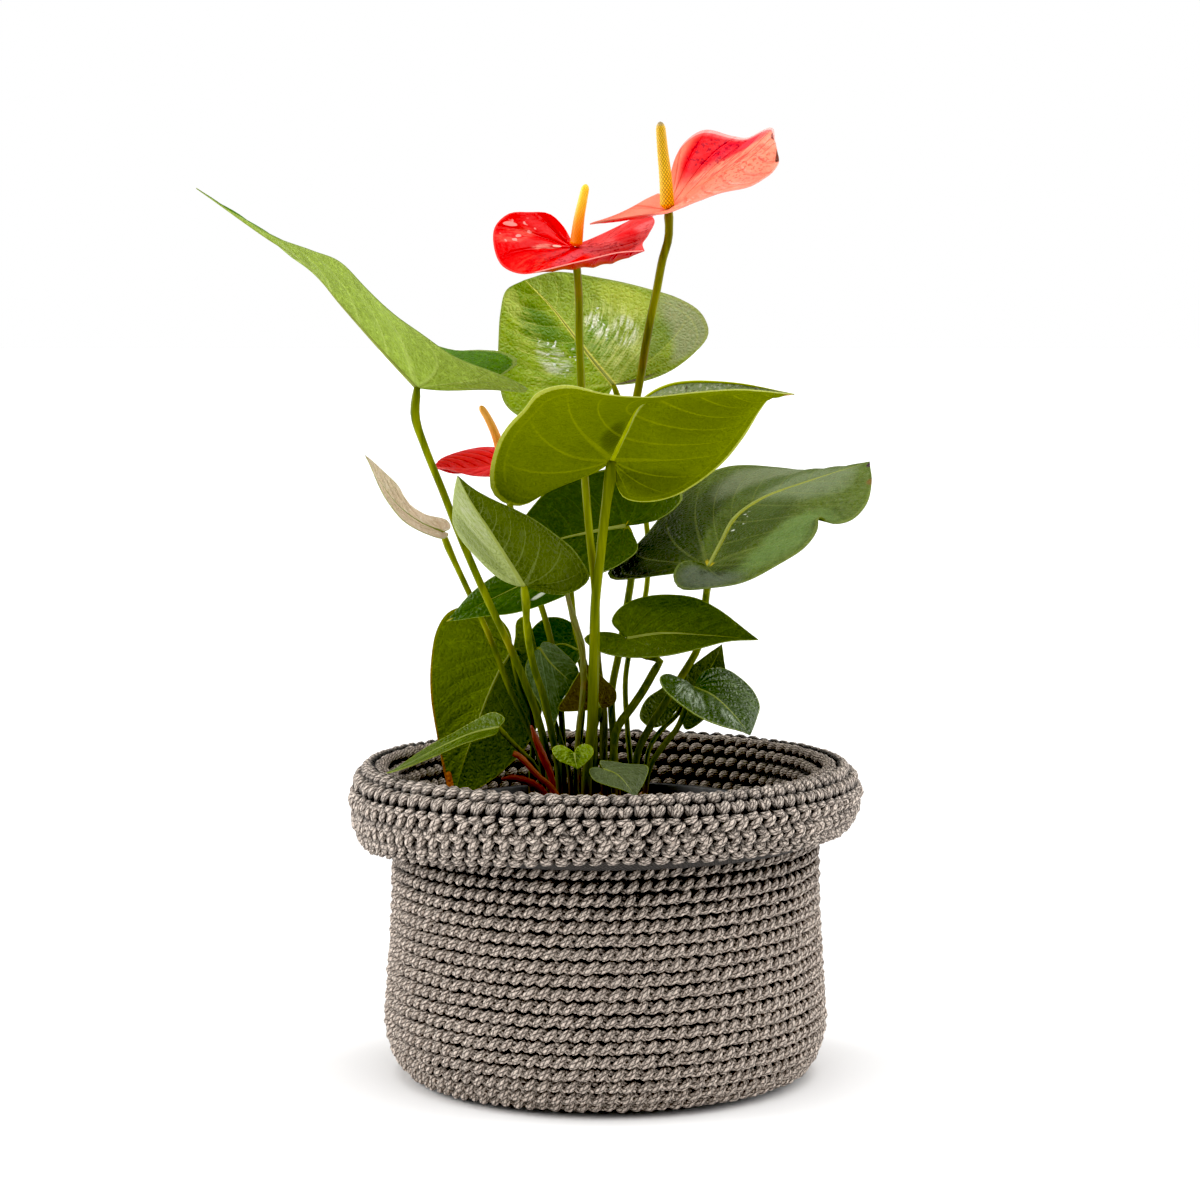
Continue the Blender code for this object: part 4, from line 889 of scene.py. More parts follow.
def make_spadix(name, bloom, look):
    """A tapering spike covered with florets in a diamond pattern."""
    foot, *rest = bloom["spadix"]
    path = smooth_path(from_sheet([(foot[0], foot[1] - SPADIX_FOOT_DROP, foot[2]), *rest]), SPADIX_RINGS)
    share = np.linspace(0, 1, SPADIX_RINGS)
    wide, narrow = bloom["spadix_radius"]
    # Tapered, then drawn in at the foot and rounded at the tip
    radii = (wide + (narrow - wide) * share) * np.clip(share * 14 + 0.35, 0, 1)
    radii *= np.sqrt(np.clip(1 - np.clip((share - 0.9) / 0.1, 0, 1) ** 2, 0.004, 1))
    points, faces, places = tube(path, radii, SPADIX_SIDES, caps=False)
    length = lengths_along(path)[-1]
    around = np.tile(np.arange(SPADIX_SIDES) / SPADIX_SIDES * FLORETS_AROUND, SPADIX_RINGS)
    along = np.repeat(share * length / FLORET_PITCH / FLORET_STRETCH, SPADIX_SIDES)
    floret = np.abs(np.cos(math.pi * (around + along)) * np.cos(math.pi * (around - along))) ** 0.6
    spokes = unit(points - np.repeat(path, SPADIX_SIDES, axis=0))
    points += spokes * (floret - 0.6)[:, None] * look["relief"]
    shape = Shape()
    shape.add(points, faces, places)
    piece = shape.make(name + "_fine", [spadix_look(name, look, length)])
    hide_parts(name)


def make_peduncle(name, bloom, colours):
    """The stem under a spathe, flared where it meets it."""
    path = stem_path(bloom["rib"][0], bloom["peduncle"], bloom["root"])
    direction = path[1] - path[0]
    path[0] += direction / np.linalg.norm(direction) * PEDUNCLE_DROP
    radii = np.full(len(path), float(bloom["radius"]))
    radii[0] = bloom["flare"] * 1.15
    radii[1] *= 1.12
    shape = Shape()
    add_tube(shape, path, radii, STALK_SIDES)
    piece = shape.make(name + "_fine", [stem_look(name, *colours, PEDUNCLE_SEED)])
    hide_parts(name)


def spadix_look(name, look, length):
    """Florets: bright on their crowns, darker in the seams, and shaded from foot to tip."""
    skin = Look(name)
    left, right = skin.bands(skin.times(skin.u, float(FLORETS_AROUND)),
                             skin.math("DIVIDE", skin.v, FLORET_PITCH * FLORET_STRETCH))
    seam = skin.math("MINIMUM", skin.minus(0.5, left), skin.minus(0.5, right))
    crown = skin.fade(seam, 0.02, 0.22)
    end = skin.fade(skin.v, length * 0.15, length * 0.85)
    ground = skin.mix(end, srgb(*look["foot"]), srgb(*look["tip"]))
    colour = skin.mix(skin.math("MULTIPLY_ADD", crown, -look["seam_share"], look["seam_share"]), ground,
                      srgb(*look["seam"]))
    if "cap" in look:
        colour = skin.mix(skin.fade(skin.v, length * 0.93, length * 0.99), colour, srgb(*look["cap"]))
    return skin.finish(colour, 0.42, skin.bump(skin.noise(900, 3), 0.08), ior=1.42)


def sheath_look(name, look):
    """Dry sheath: fibres along it, over blotches."""
    skin = Look(name)
    streak = skin.noise(1.0, 3, 0.5, at=skin.join(skin.times(skin.u, 30.0), skin.times(skin.v, 0.15)))
    clouds = skin.noise(90, 4)
    colour = skin.mix(skin.fade(streak, 0.35, 0.65), srgb(*look["light"]), srgb(*look["dark"]))
    colour = skin.mix(skin.fade(clouds, 0.5, 0.75, 0.0, 0.5), colour, srgb(*look["cloud"]))
    return skin.finish(colour, look.get("rough", 0.5), skin.bump(streak, 0.3), ior=1.42)


def make_sheath(name, sheath, look):
    """A tapering sheath or stub that grows from the soil."""
    foot = [(*sheath["root"], SOIL_LEVEL + 1), (*sheath["root"], SOIL_LEVEL - STEM_DEPTH)]
    route = np.vstack([from_sheet(sheath["points"]), foot])
    path = smooth_path(route, 40)
    places = lengths_along(route)
    along = lengths_along(path)
    radii = np.interp(along / along[-1], places / places[-1], sheath["radii"])
    shape = Shape()
    add_tube(shape, path, radii * (1 + 0.06 * np.sin(along * 1.3)), STALK_SIDES)
    piece = shape.make(name + "_fine", [sheath_look(name, look)])
    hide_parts(name)


# Basket stitches: how many to a turn, the rows of the body and the row where its two pieces part
STITCHES = 98
ROW_PITCH = 6.4
BODY_ROWS = 18
SPLIT_ROW = 8
BODY_START = (108, 125)
BODY_END = (94, 1.2)
# How far each row's stitches run ahead of those below, and the sizes of body stitches and thin ones
ROW_SHIFT = 0.15
BODY_SIZE = 1.1
THIN_SIZE = 1.25
# Strands: steps along each, and the levels over which painted shade darkens its cord into the hollows
STRAND_STEPS = 7
BURIED_FROM = 1.5
BURIED_TO = -1.9
WALL_DEPTH = 2.6
# Shade under the collar: the heights over which the body's cord darkens, and by how much
SHADE_FROM, SHADE_TO, SHADE_DEPTH = 86, 118, 0.45
TURN_STEPS = 120
# Each strand of a single stitch: one slants up over the other, which slants down. Its points lie along the
# row, up and outward.
SINGLE_STITCH = [
    dict(points=[(-2.0, -2.0, -2.2), (-1.4, -1.25, 0.0), (0.0, 0.0, 0.8), (1.4, 1.25, 0.1), (2.0, 2.0, -2.2)],
         radii=(1.3, 1.65, 1.8, 1.65, 1.3)),
    dict(points=[(-3.2, 1.8, -2.4), (-2.6, 1.3, -0.8), (-0.3, 0.2, -2.0), (1.9, -0.9, -0.9),
                 (2.75, -1.2, -0.3), (3.3, -1.7, -2.0)],
         radii=(1.2, 1.45, 1.2, 1.5, 1.6, 1.3))]
# Each kind of collar stitch: how proud its bright part stands above the painted shade, and its strands
COLLAR_STITCHES = {
    "arc": (0.8, dict(
        points=[(-3.7, -0.6, -2.2), (-2.4, 0.5, -0.4), (0.0, 1.0, 0.0), (2.4, 0.5, -0.4), (3.7, -0.6, -2.2)],
        radii=(1.0, 1.3, 1.4, 1.3, 1.0))),
    "knot": (2.1, dict(
        points=[(-3.1, -2.1, -1.9), (-1.8, -1.1, 0.0), (0.0, 0.1, 0.5), (1.8, 1.2, 0.0), (3.1, 2.2, -1.9)],
        radii=(2.3, 3.3, 3.75, 3.3, 2.2), sides=10, squash=0.66)),
    "leg": (2.0, dict(
        points=[(-1.2, -2.4, -2.0), (-0.6, -1.5, -0.2), (0.8, 0.1, 0.4), (1.9, 1.6, -0.1), (2.4, 2.5, -2.0)],
        radii=(1.8, 2.5, 2.7, 2.4, 1.7)), dict(
        points=[(-2.7, 2.2, -2.2), (-2.4, 1.2, -0.2), (-2.1, -0.2, 0.2), (-1.9, -1.4, -0.2),
                (-1.9, -2.3, -2.2)],
        radii=(1.6, 2.1, 2.2, 2.1, 1.6))),
    "bar": (1.5, dict(
        points=[(-2.9, 0.4, -2.2), (-1.9, -0.4, 0.3), (0.0, -0.6, 0.9), (1.8, 0.1, 0.5), (2.9, 0.9, -2.0)],
        radii=(1.1, 1.5, 1.7, 1.55, 1.1))),
    "hook": (1.7, dict(
        points=[(-3.4, 1.5, -2.2), (-2.7, 0.0, 0.0), (-0.8, -1.1, 0.6), (1.4, -0.6, 0.4), (2.9, 1.4, -2.0)],
        radii=(1.4, 1.9, 2.1, 1.9, 1.4)), dict(
        points=[(0.5, 2.2, -1.6), (0.3, 1.4, 0.1), (0.0, 0.6, -0.2), (-0.2, -0.2, -1.8)],
        radii=(1.2, 1.6, 1.6, 1.1))),
    "thin": (1.7, *(dict(part, size=THIN_SIZE) for part in SINGLE_STITCH)),
    "chain": (1.5, dict(
        points=[(-3.8, -0.3, -2.0), (-2.0, -0.4, 0.1), (0.2, 0.0, 0.4), (2.2, 0.3, 0.1), (3.8, 0.5, -2.0)],
        radii=(1.1, 1.5, 1.7, 1.5, 1.1))),
}
# Collar rows: where each lies down the roll from its start, and what its stitches are
COLLAR_ROWS = [(-2.4, "arc"), (2.4, "knot"), (8.3, "leg"), (12.7, "bar"), (16.2, "thin"), (20.2, "hook"),
               (23.8, "thin"), (27.6, "hook"), (30.8, "bar"), (33.4, "chain")]
ROLL_START = 2.0
COLLAR_WALL_DEPTH = 0.6
# The collar's sag at the left: how far, and over what it grows: down from the top, out from the neck, and
# towards the left edge
COLLAR_SAG = 10
SAG_TOP, SAG_HEIGHT = 154, 30
SAG_NECK, SAG_BREADTH = 108, 8
COLLAR_RADIUS = 125
# The inner side's rows, and the rings of the underside with the length of a stitch there
INNER_STITCH = dict(
    points=[(-3.1, -1.0, -1.9), (-1.7, -0.6, 0.0), (0.0, 0.0, 0.6), (1.7, 0.6, 0.0), (3.1, 1.0, -1.9)],
    radii=(1.5, 2.2, 2.6, 2.2, 1.5), squash=0.8)
INNER_ROWS = 7
INNER_TOP_STITCHES = 94
INNER_DEPTH = 0.6
UNDER_STITCH = dict(
    points=[(-3.9, -1.6, 1.6), (-2.0, -0.8, 0.5), (0, 0, 0.2), (2.0, 0.8, 0.5), (3.9, 1.6, 1.6)],
    radii=(1.2, 1.5, 1.6, 1.5, 1.2), sides=6)
UNDER_RINGS = np.arange(8, 92, 6.6)
UNDER_LENGTH = 7.2
UNDER_LEVEL = 1.75
UNDER_RADIUS = 86
UNDER_WALL = 0.9


def profile_points(profile, places):
    """Radii and heights, and upward directions, of a profile at the given distances from its start."""
    profile = smooth_path(np.array(profile, dtype=float), PROFILE_SAMPLES)
    along = lengths_along(profile)
    spots, ahead, behind = (
        np.column_stack([np.interp(np.add(places, shift), along, profile[:, k]) for k in range(2)])
        for shift in (0, 0.5, -0.5))
    return spots.T, unit(behind - ahead)


def stitch_frames(profile, places, turns):
    """Origins and axes (along the row, up the profile, outward) of stitches on a turned profile."""
    (radius, height), up = profile_points(profile, places)
    cos, sin = np.cos(turns), np.sin(turns)
    origins = np.column_stack([radius * cos, radius * sin, height])
    rows = np.column_stack([-sin, cos, 0 * cos])
    ups = np.column_stack([up[:, 0] * cos, up[:, 0] * sin, up[:, 1]])
    return origins, rows, ups, np.cross(rows, ups)


def strand(points, radii, sides=8, squash=1.0, size=1.0):
    """One short length of cord in a stitch's own axes, open at both ends, which sink into the work."""
    path = smooth_path(np.array(points, dtype=float) * size, STRAND_STEPS)
    share, knots = (np.linspace(0, 1, count) for count in (STRAND_STEPS, len(radii)))
    radii = np.interp(share, knots, np.array(radii) * size)
    points, faces, places = tube(path, radii, sides, squash, caps=False)
    return points, faces, places * (max(1, round(radii.max() / 1.6)), 1)


def lay_strands(shape, template, frames, rng, crown=0.0, shake=1.0):
    """Repeats a strand at every stitch, each a bit different; crown is how proud its bright part stands above
    the painted shade.
    """
    points, faces, places = template
    origins, rows, ups, outs = frames
    count = len(origins)
    turn = rng.normal(0, 0.07 * shake, count)[:, None, None]
    size = 1 + rng.normal(0, 0.045 * shake, (count, 1, 1))
    shift = rng.normal(0, 0.18 * shake, (count, 1, 3))
    x, y, z = (points[None, :, k, None] * size for k in range(3))
    x, y = x * np.cos(turn) - y * np.sin(turn), x * np.sin(turn) + y * np.cos(turn)
    x, y, z = x + shift[:, :, 0:1], y + shift[:, :, 1:2], z + shift[:, :, 2:3]
    laid = origins[:, None] + x * rows[:, None] + y * ups[:, None] + z * outs[:, None]
    starts = np.arange(count)[:, None, None] * len(points)
    offsets = rng.uniform(0, 1, (count, 1, 1, 2)) * (1, 9)
    # Painted shade grows the deeper a point lies below the strand's crown
    buried = np.clip((BURIED_FROM + crown - z) / (BURIED_FROM - BURIED_TO), 0, 1).ravel()
    shape.add(laid.reshape(-1, 3), (faces[None] + starts).reshape(-1, 4),
              (places[None] + offsets).reshape(-1, 4, 2), buried=buried)


def turned_wall(shape, profile, slot=0):
    """Adds a surface turned about the axis, its outer face to the left of the profile's way down."""
    profile = np.array(profile, dtype=float)
    turns = np.linspace(0, math.tau, TURN_STEPS + 1)
    points = np.stack([profile[:, None, 0] * np.cos(turns), profile[:, None, 0] * np.sin(turns),
                       profile[:, None, 1] + 0 * turns], axis=2)
    faces = grid_faces(len(profile), TURN_STEPS + 1)
    along = lengths_along(profile)
    places = np.stack([np.broadcast_to(turns / math.tau * 60, points.shape[:2]),
                       np.broadcast_to(along[:, None], points.shape[:2])], axis=2).reshape(-1, 2)[faces]
    shape.add(points.reshape(-1, 3), faces[:, ::-1], places[:, ::-1], slot)


def inset(profile, depth):
    """The same profile moved inward, to the right of its way down."""
    profile = np.array(profile, dtype=float)
    ways = np.gradient(profile, axis=0)
    ways /= np.linalg.norm(ways, axis=1)[:, None]
    return profile + np.column_stack([ways[:, 1], -ways[:, 0]]) * depth


def make_body(cord):
    """The body: a helix of single stitches, in two pieces."""
    rng = np.random.default_rng(SEED)
    over, under = (strand(**part, size=BODY_SIZE) for part in SINGLE_STITCH)
    for name, first, last in (("basket_lower", -2, SPLIT_ROW), ("basket_upper", SPLIT_ROW, BODY_ROWS)):
        number = np.arange(first * STITCHES, last * STITCHES)
        turns = number * (1 + ROW_SHIFT / STITCHES) / STITCHES * math.tau
        places = (BODY_ROWS - number / STITCHES) * ROW_PITCH
        frames = stitch_frames([BODY_START, *BODY_PROFILE[:-1], BODY_END], places, turns)
        shape = Shape()
        lay_strands(shape, under, frames, rng)
        lay_strands(shape, over, frames, rng)
        # Painted shadow of the collar: the body's top rows darken towards the cord's hollow colour
        for i, points in enumerate(shape.points):
            shade = np.clip((points[:, 2] - SHADE_FROM) / (SHADE_TO - SHADE_FROM), 0, 1)
            shape.buried[i] = shape.buried[i] + SHADE_DEPTH * shade
        piece = shape.make(name, [cord])
        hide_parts("basket")


def make_collar(cord, between):
    """The rolled collar: rows of knots, legs and bars over its turned shape, sagging at the left."""
    rng = np.random.default_rng(SEED + 1)
    shape = Shape()
    profile = [(114.5, BASKET_HEIGHT), *COLLAR_PROFILE[1:]]
    for place, kind in COLLAR_ROWS:
        crown, *parts = COLLAR_STITCHES[kind]
        turns = (np.arange(STITCHES) + rng.uniform()) / STITCHES * math.tau
        frames = stitch_frames(profile, np.full(STITCHES, place + ROLL_START), turns)
        for part in parts:
            lay_strands(shape, strand(**part), frames, rng, crown)
    # A near-black wall under the rows: painted shade in the gaps between them
    turned_wall(shape, inset([(110, 153), *COLLAR_PROFILE, (104, 118)], COLLAR_WALL_DEPTH), 1)
    for points in shape.points:
        low = np.clip((SAG_TOP - points[:, 2]) / SAG_HEIGHT, 0, 1)
        wide = np.clip((np.hypot(points[:, 0], points[:, 1]) - SAG_NECK) / SAG_BREADTH, 0, 1)
        points[:, 2] -= COLLAR_SAG * np.clip(-points[:, 0] / COLLAR_RADIUS, 0, 1) ** 1.5 * (low * wide)
    piece = shape.make("basket_collar", [cord, between])
    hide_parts("basket")


def make_inside(shaded_inner_cord, dark):
    """The wall behind the stitches, the floor, and the rows of the inner side and of the underside."""
    rng = np.random.default_rng(SEED + 2)
    shape = Shape()
    # The wall behind the body's stitches, and the inner wall and floor, take the near-black back cord:
    # painted shade
    outer = inset([BODY_START, *BODY_PROFILE], WALL_DEPTH)
    outer[-1] = (UNDER_RADIUS, UNDER_WALL)
    turned_wall(shape, [*outer, (0, UNDER_WALL)], 1)
    inside = [(0, FLOOR_LEVEL), (92, FLOOR_LEVEL), *INNER_PROFILE[:0:-1], (112, 150.5), (115, 150.5)]
    turned_wall(shape, inside, 1)
    # The inner rows and the underside take the darker inner cord: painted shade inside and under the basket
    inner, under = strand(**INNER_STITCH), strand(**UNDER_STITCH)
    for row in range(INNER_ROWS):
        count = INNER_TOP_STITCHES - row
        turns = (np.arange(count) + row * 0.4) / count * math.tau
        origins, rows, ups, outs = stitch_frames(INNER_PROFILE, np.full(count, 0.8 + ROW_PITCH * row), turns)
        lay_strands(shape, inner, (origins - outs * INNER_DEPTH, -rows, ups, -outs), rng, 0.6)
    for radius in UNDER_RINGS:
        count = max(5, round(math.tau * radius / UNDER_LENGTH))
        turns = (np.arange(count) + rng.uniform()) / count * math.tau
        cos, sin, flat = np.cos(turns), np.sin(turns), np.zeros(count)
        frames = [np.column_stack(axis) for axis in (
            (radius * cos, radius * sin, flat + UNDER_LEVEL), (-sin, cos, flat), (cos, sin, flat),
            (flat, flat, flat + 1))]
        lay_strands(shape, under, frames, rng, shake=0.4)
    piece = shape.make("basket_inside", [shaded_inner_cord, dark])
    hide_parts("basket")


def make_pot():
    """The thin nursery pot, scuffed satin plastic."""
    shoulder = POT_RIM_RADIUS - POT_LIP
    inner, under_lip = shoulder - POT_WALL, POT_TOP - POT_LIP_DROP
    profile = [(0, POT_FOOT + POT_WALL), (POT_BASE_RADIUS - POT_WALL, POT_FOOT + POT_WALL),
               (inner, under_lip), (inner, POT_TOP - 0.7), (inner + 0.2, POT_TOP - 0.2),
               (inner + 0.7, POT_TOP), (POT_RIM_RADIUS - 0.7, POT_TOP), (POT_RIM_RADIUS - 0.2, POT_TOP - 0.2),
               (POT_RIM_RADIUS, POT_TOP - 0.7), (POT_RIM_RADIUS, under_lip), (shoulder, under_lip),
               (POT_BASE_RADIUS, POT_FOOT), (0, POT_FOOT)]
    shape = Shape()
    turned_wall(shape, profile)
    skin = Look("plastic")
    scuffs = skin.noise(400, 4, 0.7, stretch=(1, 1, 0.15))
    dust = skin.noise(50, 5, 0.6)
    colour = skin.mix(skin.fade(dust, 0.45, 0.75, 0.0, 0.5), srgb(34, 34, 36), srgb(92, 88, 82))
    rough = skin.fade(scuffs, 0.3, 0.7, 0.36, 0.56)
    plastic = skin.finish(colour, rough, skin.bump(scuffs, 0.05))
    piece = shape.make("nursery_pot_fine", [plastic], weld=WELD, sharp=40)
    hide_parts("nursery_pot")


# Soil: how finely its surface is divided, its play in the pot, how far its plain surface lies below its
# level, its depth, and the number, spread, sizes and lift of its bark chips
SOIL_RINGS = 34
SOIL_TURNS = 110
SOIL_PLAY = 0.4
SOIL_SINK = 0.5
SOIL_DEPTH = 15
CHIPS = 260
CHIP_REACH = 76
CHIP_SIZES = (1.3, 3.6)
CHIP_LIFT = 1.2


def turned(first, second, angle):
    """Two coordinates turned by an angle."""
    return (first * math.cos(angle) - second * math.sin(angle),
            first * math.sin(angle) + second * math.cos(angle))


def bark_chips(rng):
    """Points and faces of bark chips, rough blocks that lie on the soil."""
    chips = bmesh.new()
    for _ in range(CHIPS):
        reach, turn = CHIP_REACH * math.sqrt(rng.uniform()), rng.uniform(0, math.tau)
        size = rng.uniform(*CHIP_SIZES)
        scale = np.array([size, size * rng.uniform(0.5, 0.9), size * rng.uniform(0.3, 0.55)])
        spin, lean = rng.uniform(0, math.tau), rng.normal(0, 0.35)
        shift = Vector(rng.uniform(0, 90, 3))
        for vertex in bmesh.ops.create_icosphere(chips, subdivisions=2, radius=1)["verts"]:
            spot = np.array(vertex.co) * (1 + 0.35 * noise.noise(vertex.co * 1.6 + shift))
            x, y, z = np.sign(spot) * np.abs(spot) ** 0.75 * scale
            x, z = turned(x, z, lean)
            x, y = turned(x, y, spin)
            vertex.co = (x + reach * math.cos(turn), y + reach * math.sin(turn), z + SOIL_LEVEL + CHIP_LIFT)
    points = np.array([v.co for v in chips.verts])
    faces = np.array([[v.index for v in face.verts] for face in chips.faces])
    chips.free()
    return points, faces


def grain_look(name, grain, shades, rough, depth, stretch=None, blotch=None):
    """Crumbly stuff: two shades in a grain of given scale, detail and roughness, and darker blotches."""
    skin = Look(name)
    grains = skin.noise(*grain, stretch=stretch)
    colour = skin.mix(skin.fade(grains, *shades[0]), srgb(*shades[1]), srgb(*shades[2]))
    if blotch:
        colour = skin.mix(skin.fade(skin.noise(60, 2), 0.5, 0.7), colour, srgb(*blotch))
    return skin.finish(colour, rough, skin.bump(grains, depth))


def make_soil():
    """Peat with bark chips lying in it."""
    edge, top, bottom = SOIL_RADIUS - SOIL_PLAY, SOIL_LEVEL - SOIL_SINK, SOIL_LEVEL - SOIL_DEPTH
    radius = (np.linspace(0, 1, SOIL_RINGS) ** 0.8)[:, None] * edge
    angle = np.linspace(0, math.tau, SOIL_TURNS + 1)[None, :]
    surface = np.stack(np.broadcast_arrays(radius * np.cos(angle), radius * np.sin(angle), top),
                       axis=2).reshape(-1, 3)
    rise = 1.6 * wobble(surface, 9, 2) + 1.0 * wobble(surface, 3.2, 3)
    surface[:, 2] += 2 * np.exp(-(np.hypot(surface[:, 0], surface[:, 1]) / 40) ** 2) + rise
    shape = Shape()
    faces = grid_faces(SOIL_RINGS, SOIL_TURNS + 1)
    shape.add(surface, faces, np.zeros((len(faces), 4, 2)))
    turned_wall(shape, [(edge, top), (SOIL_RADIUS - 3, bottom), (0, bottom)])
    points, faces = bark_chips(np.random.default_rng(SEED + 3))
    shape.add(points, faces, np.zeros((len(faces), 3, 2)), 1)
    peat = grain_look("peat", (700, 5, 0.7), ((0.4, 0.65), (38, 28, 20), (96, 72, 48)), 0.95, 0.8)
    bark = grain_look("bark", (500, 4, 0.65), ((0.35, 0.65), (54, 36, 24), (128, 88, 56)), 0.8, 0.5,
                      stretch=(1, 0.3, 1), blotch=(60, 44, 32))
    piece = shape.make("soil_fine", [peat, bark])
    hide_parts("soil")


# What most leaves share: the shares of their patterns, colours, gloss and puffing between the veins
LEAF_LOOK = dict(mottle=0.45, streaks=0.3, net=0.07, stipple=0.35, upper_veins=0.35, lower_veins=0.35,
                 rib=(190, 200, 110), under_rib=(150, 160, 80), margin=(150, 165, 80), margin_share=0.6,
                 rough=0.42, shine=0.18, puff=0.55)
